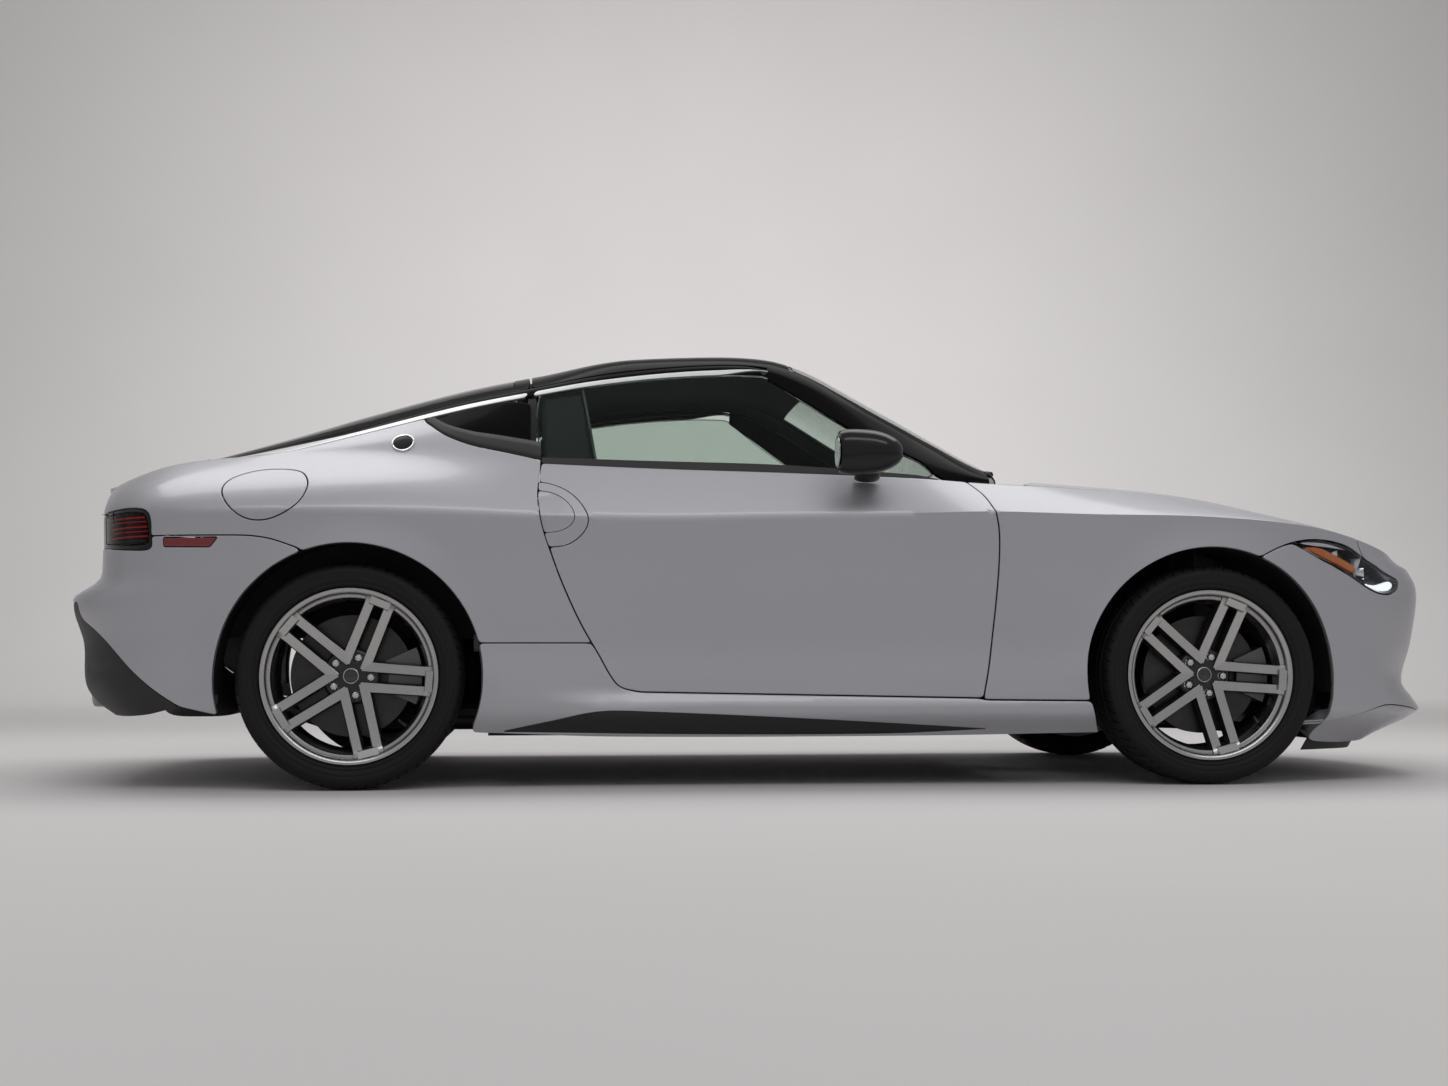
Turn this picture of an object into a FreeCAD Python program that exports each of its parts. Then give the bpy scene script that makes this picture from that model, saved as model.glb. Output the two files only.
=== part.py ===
import FreeCAD, Part
import math
import os

# A low two-seat fastback coupe. Millimetres. +X is forward, +Y is the car's left, +Z is up.
# The origin is on the ground, under the middle of the wheelbase.

V = FreeCAD.Vector

# ---------------------------------------------------------------- driving dimensions
WHEELBASE = 2550.0
FRONT_OVERHANG = 915.0          # front axle to nose
REAR_OVERHANG = 915.0           # rear axle to tail
BODY_WIDTH = 1845.0             # over the rear haunches
HEIGHT = 1335.0                 # ground to roof
TRACK_HALF = 760.0              # centre plane to wheel centre

TYRE_RADIUS = 328.0
TYRE_WIDTH = 250.0
RIM_FLANGE_RADIUS = 254.0
RIM_SEAT_RADIUS = 242.0
RIM_WELL_RADIUS = 224.0
BOLT_CIRCLE = 114.3
BOLT_COUNT = 5
BOLT_HOLE_RADIUS = 7.0
CENTRE_BORE_RADIUS = 33.0
DISC_RADIUS = 177.0
DISC_THICKNESS = 28.0
STEER_LOCK = 33.0               # degrees each way

ARCH_GAP = 54.0                 # tyre to wheel arch edge
SWING_GAP = 68.0                # tyre to the inside of a wheel housing
PANEL_GAP = 6.0                 # between a moving panel and what is round it
DOOR_THICKNESS = 120.0
SKIN = 14.0                     # depth of a panel's outer flange
GLASS = 5.0
SEAT_GAP = 0.3                  # where one curved piece sits on another

# ---------------------------------------------------------------- nominal layout, stretched to size
NOMINAL_BASE = 2550.0
NOMINAL_OVERHANG = 915.0
NOMINAL_WIDTH = 1845.0
NOMINAL_HEIGHT = 1335.0
FREE_WIDTH = 300.0              # inside this half width, a wider body is stretched; outside it is shifted
BELT = 960.0                    # above this height, a taller car is stretched


def along(x):
    """Place along the car: stretched between the axles and over each overhang."""
    axle = NOMINAL_BASE / 2
    if x > axle:
        return WHEELBASE / 2 + (x - axle) * FRONT_OVERHANG / NOMINAL_OVERHANG
    if x < -axle:
        return -WHEELBASE / 2 + (x + axle) * REAR_OVERHANG / NOMINAL_OVERHANG
    return x * WHEELBASE / NOMINAL_BASE


def across(y):
    """Place across the car: stretched near the middle and shifted further out."""
    wider = (BODY_WIDTH - NOMINAL_WIDTH) / 2
    side = 1 if y >= 0 else -1
    return y + side * wider * min(1.0, abs(y) / FREE_WIDTH)


def above(z):
    """Height: as it is up to the belt, stretched above it."""
    if z <= BELT:
        return z
    return BELT + (z - BELT) * (HEIGHT - BELT) / (NOMINAL_HEIGHT - BELT)


FRONT_AXLE = along(NOMINAL_BASE / 2)
REAR_AXLE = along(-NOMINAL_BASE / 2)
HUB_HEIGHT = TYRE_RADIUS
ARCH_RADIUS = TYRE_RADIUS + ARCH_GAP
HOUSING_RADIUS = TYRE_RADIUS + SWING_GAP


def curve(rows, x, column):
    """Smooth curve through the rows of a table whose first column is x, in falling or rising order."""
    pts = sorted((row[0], row[column]) for row in rows)
    if x <= pts[0][0]:
        return pts[0][1]
    if x >= pts[-1][0]:
        return pts[-1][1]
    k = max(i for i in range(len(pts) - 1) if pts[i][0] <= x)

    def slope(i):
        if i <= 0 or i >= len(pts) - 1:
            j = max(1, min(i, len(pts) - 1))
            return (pts[j][1] - pts[j - 1][1]) / (pts[j][0] - pts[j - 1][0])
        return (pts[i + 1][1] - pts[i - 1][1]) / (pts[i + 1][0] - pts[i - 1][0])

    (x0, v0), (x1, v1) = pts[k], pts[k + 1]
    h = x1 - x0
    t = (x - x0) / h
    return ((1 + 2 * t) * (1 - t) ** 2 * v0 + t * (1 - t) ** 2 * h * slope(k)
            + t * t * (3 - 2 * t) * v1 - t * t * (1 - t) * h * slope(k + 1))


# ---------------------------------------------------------------- tools for shapes
def box(x0, x1, y0, y1, z0, z1):
    """Box between two corners given in any order."""
    x0, x1 = sorted((x0, x1))
    y0, y1 = sorted((y0, y1))
    z0, z1 = sorted((z0, z1))
    return Part.makeBox(x1 - x0, y1 - y0, z1 - z0, V(x0, y0, z0))


def rod(start, end, radius):
    """Round bar from one point to another."""
    run = end - start
    return Part.makeCylinder(radius, run.Length, start, run)


def outline(points, place):
    """Closed wire of lines, with an arc wherever a point is marked "arc": (u, v), ("arc", (u, v), (u, v))."""
    edges = []
    last = points[0]
    for item in list(points[1:]) + [points[0]]:
        if item[0] == "arc":
            edges.append(Part.Arc(place(*last), place(*item[1]), place(*item[2])).toShape())
            last = item[2]
        elif place(*item).distanceToPoint(place(*last)) > 1e-6:
            edges.append(Part.LineSegment(place(*last), place(*item)).toShape())
            last = item
    return Part.Wire(edges)


def side_prism(points, y0, y1):
    """Side-view outline (x, z) carried across the car from y0 to y1."""
    wire = outline(points, lambda x, z: V(x, y0, z))
    return Part.Face(wire).extrude(V(0, y1 - y0, 0))


def plan_prism(points, z0, z1):
    """Plan outline (x, y) carried upwards from z0 to z1."""
    wire = outline(points, lambda x, y: V(x, y, z0))
    return Part.Face(wire).extrude(V(0, 0, z1 - z0))


def join(first, *others):
    """One solid from pieces that overlap or touch."""
    return first.fuse(list(others)).removeSplitter()


def mirrored(shape):
    """The same piece on the car's other side."""
    return shape.mirror(V(0, 0, 0), V(0, 1, 0))


def faceted(rings):
    """Closed solid through equal rings of points: triangles between the rings, flat caps at the ends."""
    faces = []

    def add(*corners):
        a, b, c = corners
        if (b - a).cross(c - a).Length > 0.5:
            faces.append(Part.Face(Part.makePolygon([a, b, c, a])))

    for low, high in zip(rings, rings[1:]):
        count = len(low)
        for i in range(count):
            j = (i + 1) % count
            add(low[i], low[j], high[j])
            add(low[i], high[j], high[i])
    for ring in (rings[0], rings[-1]):
        faces.append(Part.Face(Part.makePolygon(list(ring) + [ring[0]])))
    shell = Part.makeShell(faces)
    shell.sewShape()
    solid = Part.makeSolid(shell)
    if solid.Volume < 0:
        solid.reverse()
    return solid.removeSplitter()


# ---------------------------------------------------------------- the body's shape
# x, half width at the shoulder crease, height of the crease, half width and height of the top edge:
# the belt under the windows, the hood's side seam ahead of it and the edge of the tail deck behind it
SIDES = (
    (-2190, 862, 800, 640, 880),
    (-2040, 868, 800, 650, 893),
    (-1794, 886, 802, 668, 953),
    (-1500, 910, 806, 700, 972),
    (-1275, 922.5, 806, 730, 976),
    (-1000, 908, 802, 765, 970),
    (-728, 882, 796, 785, 957),
    (-400, 869, 790, 787, 945),
    (0, 866, 800, 788, 935),
    (400, 869, 810, 775, 922),
    (620, 876, 815, 735, 911),
    (900, 892, 808, 716, 899),
    (1275, 905, 801, 712, 868),
    (1600, 896, 772, 690, 800),
    (1850, 884, 716, 640, 712),
    (2190, 860, 640, 600, 640),
)
# height, place of the nose, place of the tail, how far the side lies inside the shoulder crease
LEVELS = (
    (112, 2040, -1940, 48),
    (150, 2105, -1980, 40),
    (205, 2186, -2030, 12),
    (245, 2165, -2060, 4),
    (300, 2122, -2098, 9),
    (420, 2162, -2128, 22),
    (556, 2190, -2190, 17),
    (612, 2183, -2108, 13),
    (660, 2148, -2092, 8),
)
CREASE_ENDS = (2085, -2086)          # nose and tail at the crease's height
TOP_ENDS = (2045, -2076)             # front of the hood and lip of the tail deck
# share of the way in from the top edge to the middle, and how much of the crown is reached there
CROWN = ((0.30, 0.55), (0.62, 0.88), (1.0, 1.0))
# x, height of the middle line of hood and deck above the top edge
CROWN_HEIGHTS = ((-2190, 14), (-1794, 10), (-728, 20), (640, 45), (1275, 42), (1600, 38), (2190, 18))

SIDE_STATIONS = (1275, 1100, 900, 640, 400, 0, -400, -728, -1000, -1180, -1390)
FRONT_ROUND = (1300.0, 4.0, 1.8)     # where the front rounding starts, and its two powers
REAR_ROUND = (-1400.0, 6.0, 2.0)
CORNER_STEPS = 7


def perimeter(nose, tail, half_width, height):
    """Half ring round the body at one level: nose, front corner, side, rear corner, tail."""
    ring = []
    start, p, q = FRONT_ROUND
    for k in range(CORNER_STEPS):
        angle = math.pi / 2 * k / CORNER_STEPS
        x = start + (nose - start) * math.cos(angle) ** (2 / p)
        ring.append((x, half_width(x) * math.sin(angle) ** (2 / q)))
    ring += [(x, half_width(x)) for x in SIDE_STATIONS]
    start, p, q = REAR_ROUND
    for k in range(CORNER_STEPS, -1, -1):
        angle = math.pi / 2 * k / CORNER_STEPS
        x = start + (tail - start) * math.cos(angle) ** (2 / p)
        ring.append((x, half_width(x) * math.sin(angle) ** (2 / q)))
    return [V(along(x), across(y) if y > 0 else 0.0, height(x, y)) for x, y in ring]


def lower_body():
    """Left half of the body up to the belt, hood and deck, as one solid."""
    rings = []
    for z, nose, tail, inset in LEVELS:
        rings.append(perimeter(nose, tail, lambda x: curve(SIDES, x, 1) - inset, lambda x, y: z))
    nose, tail = CREASE_ENDS

    def crease_height(x):
        return max(curve(SIDES, x, 2), LEVELS[-1][0] + 12)

    def shoulder_height(x):
        low, high = crease_height(x), top_height(x)
        return low + 0.62 * (high - low)

    def top_height(x):
        return max(curve(SIDES, x, 4), crease_height(x) + 16)

    rings.append(perimeter(nose, tail, lambda x: curve(SIDES, x, 1), lambda x, y: crease_height(x)))
    rings.append(perimeter(nose - 10, tail + 3,
                           lambda x: 0.62 * curve(SIDES, x, 1) + 0.38 * curve(SIDES, x, 3),
                           lambda x, y: shoulder_height(x)))
    nose, tail = TOP_ENDS
    rings.append(perimeter(nose, tail, lambda x: curve(SIDES, x, 3), lambda x, y: top_height(x)))
    for inward, rise in CROWN:
        rings.append(perimeter(nose, tail, lambda x: (1 - inward) * curve(SIDES, x, 3),
                               lambda x, y: top_height(x) + rise * curve(CROWN_HEIGHTS, x, 1)))
    return faceted(rings)


# x, height of the roof's middle line, half width and height of the roof edge (upper line of the roof rail)
CANOPY = (
    (-1860, 962, 560, 940),
    (-1794, 978, 575, 952),
    (-1650, 1026, 596, 978),
    (-1452, 1088, 606, 1024),
    (-1274, 1147, 608, 1068),
    (-974, 1232, 606, 1150),
    (-753, 1280, 602, 1197),
    (-548, 1314, 596, 1236),
    (-227, 1335, 586, 1272),
    (-36, 1330, 590, 1268),
    (92, 1300, 602, 1222),
    (220, 1246, 622, 1156),
    (348, 1180, 644, 1086),
    (477, 1103, 668, 1014),
    (607, 1022, 692, 946),
    (720, 958, 700, 912),
    (800, 925, 700, 890),
)
CANOPY_FOOT = 60.0                   # how far the canopy's solid reaches below the belt


def canopy():
    """Left half of roof, windows and pillars, as one solid."""
    rings = []
    for x, middle, edge_y, edge_z in CANOPY:
        belt_y = max(curve(SIDES, x, 3), edge_y + 6)
        belt_z = min(curve(SIDES, x, 4), edge_z - 8)
        half = ((belt_y + edge_y) / 2 + 9, (belt_z + edge_z) / 2 + 2)
        section = [(0, belt_z - CANOPY_FOOT), (belt_y, belt_z - CANOPY_FOOT), (belt_y, belt_z), half,
                   (edge_y, edge_z),
                   (edge_y * 0.86, edge_z + 0.50 * (middle - edge_z)),
                   (edge_y * 0.55, edge_z + 0.84 * (middle - edge_z)),
                   (0, middle)]
        rings.append([V(along(x), across(y) if y > 0 else 0.0, above(z)) for y, z in section])
    return faceted(rings)


LOWER = lower_body()
CANOPY_SOLID = canopy()
FAR = 3000.0                         # beyond the car on every side


def shell_of(solid, dx, dy, dz):
    """Outer layer of a half body: the solid without a copy of itself moved inwards and down."""
    return solid.cut(solid.translated(V(dx, -dy, -dz)))


def side(*points):
    """Side-view outline points moved to the car's real proportions."""
    moved = []
    for item in points:
        if item[0] == "arc":
            moved.append(("arc",) + tuple((along(x), above(z)) for x, z in item[1:]))
        else:
            moved.append((along(item[0]), above(item[1])))
    return moved


def plan(*points):
    """Plan outline points moved to the car's real proportions."""
    return [(along(x), across(y) if y > 0 else y) for x, y in points]


def grown(points, gap):
    """Outline offset outwards by a gap, as a flat face in the XZ plane."""
    wire = outline(points, lambda x, z: V(x, 0, z))
    return wire.makeOffset2D(gap, 2) if gap else wire


def side_cut(points, gap, y0, y1):
    """Side-view prism whose outline is offset by a gap."""
    face = Part.Face(grown(points, gap))
    face.translate(V(0, y0, 0))
    return face.extrude(V(0, y1 - y0, 0))


def whole(half):
    """Full-width piece from its left half."""
    return half.fuse(mirrored(half)).removeSplitter()


def both(name, left, nodes):
    """Files one piece for each side of the car."""
    nodes[name + "_left"] = left
    nodes[name + "_right"] = mirrored(left)


# ---------------------------------------------------------------- panel outlines
DOOR_OUTLINE = side((-728, 957), (-737, 842), ("arc", (-672, 636), (-511, 316)), (-439, 279),
                    (579, 259), ("arc", (636, 600), (545, 911)), (413, 922), (0, 935), (-400, 946))
SKIRT_OUTLINE = side((940, 60), (940, 252), (590, 252), (-446, 272), (-522, 318), (-588, 418),
                     (-960, 418), (-960, 60))
WINDOW_OUTLINE = side((-728, 957), (-400, 946), (0, 935), (413, 922), (466, 931), (420, 977),
                      (311, 1028), (186, 1098), (63, 1179), (-36, 1241), (-88, 1248), (-243, 1243),
                      (-427, 1227), (-610, 1199), (-728, 1178))
QUARTER_WINDOW_OUTLINE = side((-736, 960), (-736, 1176), (-852, 1153), (-973, 1124), (-1070, 1098),
                              (-1073, 1088), (-1013, 1043), (-939, 1014), (-850, 992))
HEADLIGHT_OUTLINE = side((1575, 734), (1640, 752), (1740, 745), (1804, 716), (1885, 669), (1975, 622),
                         (1962, 576), (1916, 570), (1867, 590), (1787, 637), (1706, 684))
BUMPER_SEAM = side((1300, 600), (1402, 682), (1582, 733), (1700, 780), (2300, 780), (2300, 60),
                   (1300, 60))
REAR_SEAM = side((-1300, 600), (-1392, 686), (-1640, 722), (-1850, 700), (-2300, 700), (-2300, 60),
                 (-1300, 60))
TAIL_BAND_OUTLINE = side((-1850, 700), (-2300, 700), (-2300, 832), (-2019, 832), (-1858, 809))
DIFFUSER_OUTLINE = side((-2300, 400), (-2068, 400), (-1990, 330), (-1776, 233), (-1776, 60), (-2300, 60))
FUEL_DOOR_CENTRE = (-1521, 850)
FUEL_DOOR_SIZE = (200.0, 150.0)
HOOD_REAR = ((744, 706), (800, 560), (850, 330), (872, 0))
COWL_GAP = 10.0                      # behind the hood, whose rear edge swings back a little
HATCH_OUTLINE = plan((-765, 0), (-765, 590), (-974, 594), (-1274, 596), (-1452, 594), (-1650, 586),
                     (-1794, 600), (-1930, 588), (-2010, 530), (-2056, 400), (-2110, 200), (-2110, 0))
HATCH_GLASS_OUTLINE = plan((-800, 0), (-800, 540), (-1274, 546), (-1650, 536), (-1760, 520),
                           (-1778, 300), (-1784, 0))
DECK_UNDERSIDE = 838.0
LAMP_DEPTH = 60.0
BUMPER_WALL = (45.0, 35.0, 30.0)     # along, across and down
FRAME_WALL = (28.0, 22.0)            # across and down
HOOD_DEPTH = 40.0
QUARTER_INNER = across(620.0)
FENDER_INNER = across(690.0)
DOOR_INNER = across(865.0) - DOOR_THICKNESS
SILL_INNER = DOOR_INNER - 10.0

nodes = {}

# ---------------------------------------------------------------- regions shared by neighbours
hood_edge = [(x, max(y - PANEL_GAP, 0)) for x, y in
             [(p.x, p.y) for p in perimeter(TOP_ENDS[0] - PANEL_GAP, TOP_ENDS[1],
                                            lambda x: curve(SIDES, x, 3), lambda x, y: 0.0)]
             if x > along(800)]
hood_edge = hood_edge + plan(*HOOD_REAR)


def hood_region(gap):
    """Plan prism over the hood, offset by a gap."""
    wire = outline(hood_edge, lambda x, y: V(x, y, 0))
    face = Part.Face(wire.makeOffset2D(gap, 2) if gap else wire)
    return face.extrude(V(0, 0, FAR))


def hatch_region(gap):
    """Plan prism over the hatch and the tail deck, offset by a gap."""
    wire = outline(HATCH_OUTLINE, lambda x, y: V(x, y, 0))
    face = Part.Face(wire.makeOffset2D(gap, 2) if gap else wire)
    return face.extrude(V(0, 0, FAR))


def roof_region(inset, x0, x1):
    """Plan prism between the two roof edges, from x0 to x1."""
    rows = [row for row in CANOPY if x0 < row[0] < x1]
    edge = [(x0, curve(CANOPY, x0, 2) - inset)] + [(r[0], r[2] - inset) for r in rows]
    edge += [(x1, curve(CANOPY, x1, 2) - inset)]
    return plan_prism(plan((x0, -50), *edge, (x1, -50)), 0, FAR)


def arch(x, radius, y0, y1):
    """Round space over a wheel, open below."""
    barrel = Part.makeCylinder(radius, y1 - y0, V(x, y0, HUB_HEIGHT), V(0, 1, 0))
    return barrel.fuse(box(x - radius, x + radius, y0, y1, -10, HUB_HEIGHT))


front_arch = arch(FRONT_AXLE, ARCH_RADIUS, 300, FAR)
front_housing = arch(FRONT_AXLE, HOUSING_RADIUS, 300, across(905) - 40)
rear_arch = arch(REAR_AXLE, ARCH_RADIUS, 300, FAR)
door_hole = side_cut(DOOR_OUTLINE, PANEL_GAP, 0, FAR)
window_hole = side_cut(WINDOW_OUTLINE, PANEL_GAP, 0, FAR)

# ---------------------------------------------------------------- hood
nodes["hood"] = whole(LOWER.common(hood_region(0)).cut(LOWER.translated(V(0, 0, -HOOD_DEPTH))))

# ---------------------------------------------------------------- front fenders
fender = LOWER.common(side_prism(side((380, 200), (380, 1100), (2000, 1100), (2000, 60), (900, 60),
                                      (900, 252), (560, 252)), FENDER_INNER, FAR))
fender = fender.cut([door_hole, hood_region(PANEL_GAP), front_arch, front_housing,
                     side_prism(BUMPER_SEAM, 0, FAR), side_prism(SKIRT_OUTLINE, 0, FAR),
                     side_prism(HEADLIGHT_OUTLINE, 0, FAR)])
fender = fender.cut(box(along(300), along(640), 0, across(850) - 16, 0, FAR))
nodes["front_fenders"] = fender

# ---------------------------------------------------------------- front bumper, grille and headlights
NOSE_SHELL = shell_of(LOWER, *(-BUMPER_WALL[0], BUMPER_WALL[1], BUMPER_WALL[2]))
GRILLE_HALF_WIDTH = 520.0
GRILLE_LOW, GRILLE_HIGH = 232.0, 560.0
LIP_TOP = 190.0
mouth = plan_prism([(along(1900), -50), (along(1900), across(GRILLE_HALF_WIDTH)),
                    (along(2300), across(GRILLE_HALF_WIDTH) - 30), (along(2300), -50)],
                   GRILLE_LOW, GRILLE_HIGH)
lamp_prism = side_prism(HEADLIGHT_OUTLINE, across(450), FAR)
nose_panel = NOSE_SHELL.common(side_prism(BUMPER_SEAM, 0, FAR))
nose_panel = nose_panel.cut([hood_region(PANEL_GAP), lamp_prism, mouth, front_arch, front_housing])
TOW_PLACE = V(along(2005), -across(550), 425)
TOW_BOSS = (17.0, 60.0)              # radius and length
TOW_HOLE = (9.0, 50.0)
tow_way = Part.makeCylinder(TOW_BOSS[0] + 3, 200, TOW_PLACE - V(TOW_BOSS[1], 0, 0), V(1, 0, 0))
tow_mouth = Part.makeCylinder(TOW_BOSS[0] + 3, 200, TOW_PLACE, V(1, 0, 0))
nodes["front_bumper"] = whole(nose_panel.cut(box(0, FAR, 0, FAR, 0, LIP_TOP))).cut(tow_way)
lip = LOWER.common(side_prism(BUMPER_SEAM, 0, FAR)).common(box(0, FAR, 0, FAR, 0, LIP_TOP))
lip = lip.cut([front_arch, front_housing, box(0, along(1700), 0, FAR, 0, FAR),
               box(0, along(1960), -1, across(560), 135, FAR)])
nodes["front_splitter"] = whole(lip)
grille_slab = LOWER.translated(V(-20, 0, 0)).cut(LOWER.translated(V(-34, 0, 0))).common(mouth)
slots = [box(along(1900), along(2300), 12, across(GRILLE_HALF_WIDTH) - 60, z, z + 26)
         for z in (262, 308, 354, 400, 446, 492)]
nodes["grille"] = whole(grille_slab.cut(slots))
headlight = shell_of(LOWER, -LAMP_DEPTH, LAMP_DEPTH, LAMP_DEPTH).common(lamp_prism)
headlight = headlight.cut([hood_region(PANEL_GAP), front_housing])
nodes["headlights"] = headlight.fuse(mirrored(headlight))
nodes["front_fenders"] = nodes["front_fenders"].fuse(mirrored(nodes["front_fenders"]))

# ---------------------------------------------------------------- tail: bumper, diffuser, lamp band
TAIL_SHELL = shell_of(LOWER, *BUMPER_WALL)
tail_panel = TAIL_SHELL.common(side_prism(REAR_SEAM, 0, FAR)).cut(rear_arch)
diffuser_prism = side_prism(DIFFUSER_OUTLINE, 0, FAR)
TAILPIPE_RADIUS = 48.0
TAILPIPE_PLACE = (across(450), 282.0)
pipe_hole = Part.makeCylinder(TAILPIPE_RADIUS + 8, 500, V(along(-2300), TAILPIPE_PLACE[0], TAILPIPE_PLACE[1]),
                              V(1, 0, 0))
PLATE_HOLES = (177.8, 640.0, 3.0)    # spacing, height and radius
plate_spacing, plate_height, plate_radius = PLATE_HOLES
plate_hole = Part.makeCylinder(plate_radius, 400, V(along(-2300), plate_spacing / 2, plate_height), V(1, 0, 0))
nodes["rear_bumper"] = whole(tail_panel.cut([diffuser_prism, plate_hole]))
nodes["rear_diffuser"] = whole(tail_panel.common(diffuser_prism).cut(pipe_hole))
band = shell_of(LOWER, LAMP_DEPTH, LAMP_DEPTH, LAMP_DEPTH).common(side_prism(TAIL_BAND_OUTLINE, 0, FAR))
nodes["tail_light_band"] = whole(band)

# ---------------------------------------------------------------- side skirts
skirt = LOWER.common(side_prism(SKIRT_OUTLINE, SILL_INNER, FAR))
skirt = skirt.cut([front_arch, front_housing, rear_arch, door_hole])
both("side_skirt", skirt, nodes)

# ---------------------------------------------------------------- body sides: quarter, pillars and roof rail
quarter = LOWER.common(side_prism(side((-700, 250), (-640, 1100), (-2300, 1100), (-2300, 250)),
                                  QUARTER_INNER, FAR))
quarter = quarter.cut([door_hole, rear_arch, side_prism(REAR_SEAM, 0, FAR), hatch_region(PANEL_GAP),
                       side_prism(SKIRT_OUTLINE, 0, FAR), side_prism(TAIL_BAND_OUTLINE, 0, FAR)])
frame_shell = shell_of(CANOPY_SOLID, 0, *FRAME_WALL)
TOP_INSET = 4.0
PILLAR_INSET = 42.0
SCREEN_TOP = 60.0
frame = frame_shell.cut([roof_region(TOP_INSET, -765, SCREEN_TOP), roof_region(PILLAR_INSET, SCREEN_TOP, 900),
                         hatch_region(PANEL_GAP), window_hole, door_hole, side_prism(QUARTER_WINDOW_OUTLINE, 0, FAR)])
frame = frame.cut(box(along(-700), along(900), 0, FAR, 0, 900))
frame = frame.cut(LOWER.common(box(along(-660), FAR, 0, FAR, 0, FAR)))
body_side = quarter.fuse(frame).removeSplitter()
fuel_long, fuel_high = FUEL_DOOR_SIZE
FUEL_AXIS = V(along(FUEL_DOOR_CENTRE[0]) + fuel_long / 2 - 40, across(850.0), FUEL_DOOR_CENTRE[1])
FUEL_LEAN = 37.5                     # degrees the shoulder leans inwards where the fuel door lies


def leaning(shape):
    """Piece moved from the origin to the fuel door's hinge axis, upright along the leaning shoulder."""
    return shape.rotated(V(0, 0, 0), V(1, 0, 0), FUEL_LEAN).translated(FUEL_AXIS)


def fuel_prism(gap, depth):
    """Rounded rectangle of the fuel door carried outwards through the body from a depth below the axis."""
    half_x, half_z, round_off = fuel_long / 2 + gap, fuel_high / 2 + gap, 30.0 + gap
    bend = round_off * (1 - math.sqrt(0.5))
    left, right = 40 - fuel_long / 2 - half_x, 40 - fuel_long / 2 + half_x
    low, high = -half_z, half_z
    edge = [(left + round_off, low), (right - round_off, low),
            ("arc", (right - bend, low + bend), (right, low + round_off)), (right, high - round_off),
            ("arc", (right - bend, high - bend), (right - round_off, high)), (left + round_off, high),
            ("arc", (left + bend, high - bend), (left, high - round_off)), (left, low + round_off),
            ("arc", (left + bend, low + bend), (left + round_off, low))]
    return leaning(side_prism(edge, -depth, 400))


FUEL_POCKET_DEPTH = 60.0
FUEL_SWING = 61.0                    # room for the door's front edge as it swings in
FILLER = (22.0, 60.0, -75.0)         # radius, depth and place along the pocket
fuel_pocket = fuel_prism(PANEL_GAP, FUEL_POCKET_DEPTH)
filler = leaning(Part.makeCylinder(FILLER[0], FILLER[1], V(FILLER[2], -FUEL_POCKET_DEPTH, 0), V(0, -1, 0)))
nodes["body_side_left"] = body_side
fuel_swing = leaning(Part.makeCylinder(FUEL_SWING, 2 * (fuel_high / 2 + PANEL_GAP),
                                       V(0, 0, -fuel_high / 2 - PANEL_GAP)))
nodes["body_side_right"] = mirrored(body_side.cut([fuel_pocket, fuel_swing, filler]))
fuel_door = shell_of(LOWER, 0, 10, 7).common(fuel_prism(0, 0))
nodes["fuel_door"] = mirrored(fuel_door)

# ---------------------------------------------------------------- roof, screens and quarter windows
nodes["roof_panel"] = whole(frame_shell.common(roof_region(TOP_INSET, -753, SCREEN_TOP)))
screen = shell_of(CANOPY_SOLID, 0, GLASS, GLASS + 2).common(roof_region(PILLAR_INSET, SCREEN_TOP, 900))
nodes["windshield"] = whole(screen.cut(LOWER))
pane = shell_of(CANOPY_SOLID, 0, GLASS, GLASS)
nodes["quarter_windows"] = pane.common(side_prism(QUARTER_WINDOW_OUTLINE, 300, FAR)).cut(hatch_region(PANEL_GAP))
quarter_glass = nodes["quarter_windows"]
nodes["quarter_windows"] = quarter_glass.fuse(mirrored(quarter_glass))
cowl = LOWER.common(box(along(560), along(900), 0, across(690), 700, FAR))
cowl = cowl.cut([hood_region(COWL_GAP), LOWER.translated(V(0, 0, -HOOD_DEPTH)), door_hole])
nodes["cowl"] = whole(cowl)

# ---------------------------------------------------------------- hatch
glass_prism = plan_prism(HATCH_GLASS_OUTLINE, 0, FAR)
hatch_shell = frame_shell.common(hatch_region(0)).cut(box(-FAR, along(-1800), 0, FAR, 0, FAR))
deck = LOWER.common(hatch_region(0)).cut([box(along(-1800), FAR, 0, FAR, 0, FAR),
                                          LOWER.translated(V(32, 0, -32)),
                                          box(-FAR, FAR, 0, FAR, 0, DECK_UNDERSIDE)])
nodes["hatch_frame"] = whole(hatch_shell.cut(glass_prism).fuse(deck))
nodes["hatch_glass"] = whole(shell_of(CANOPY_SOLID, 0, 0, GLASS + 1).common(glass_prism))

# ---------------------------------------------------------------- doors with their glass and mirrors
door_skin = LOWER.common(side_prism(DOOR_OUTLINE, DOOR_INNER, FAR))
door_core = LOWER.common(side_cut(DOOR_OUTLINE, -16, DOOR_INNER, FAR))
outer_layer = shell_of(LOWER, 0, SKIN, SKIN)
door = door_skin.common(outer_layer).fuse(door_core).removeSplitter()
both("door", door, nodes)
door_glass = pane.common(side_prism(WINDOW_OUTLINE, 300, FAR))
both("door_glass", door_glass, nodes)

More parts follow.
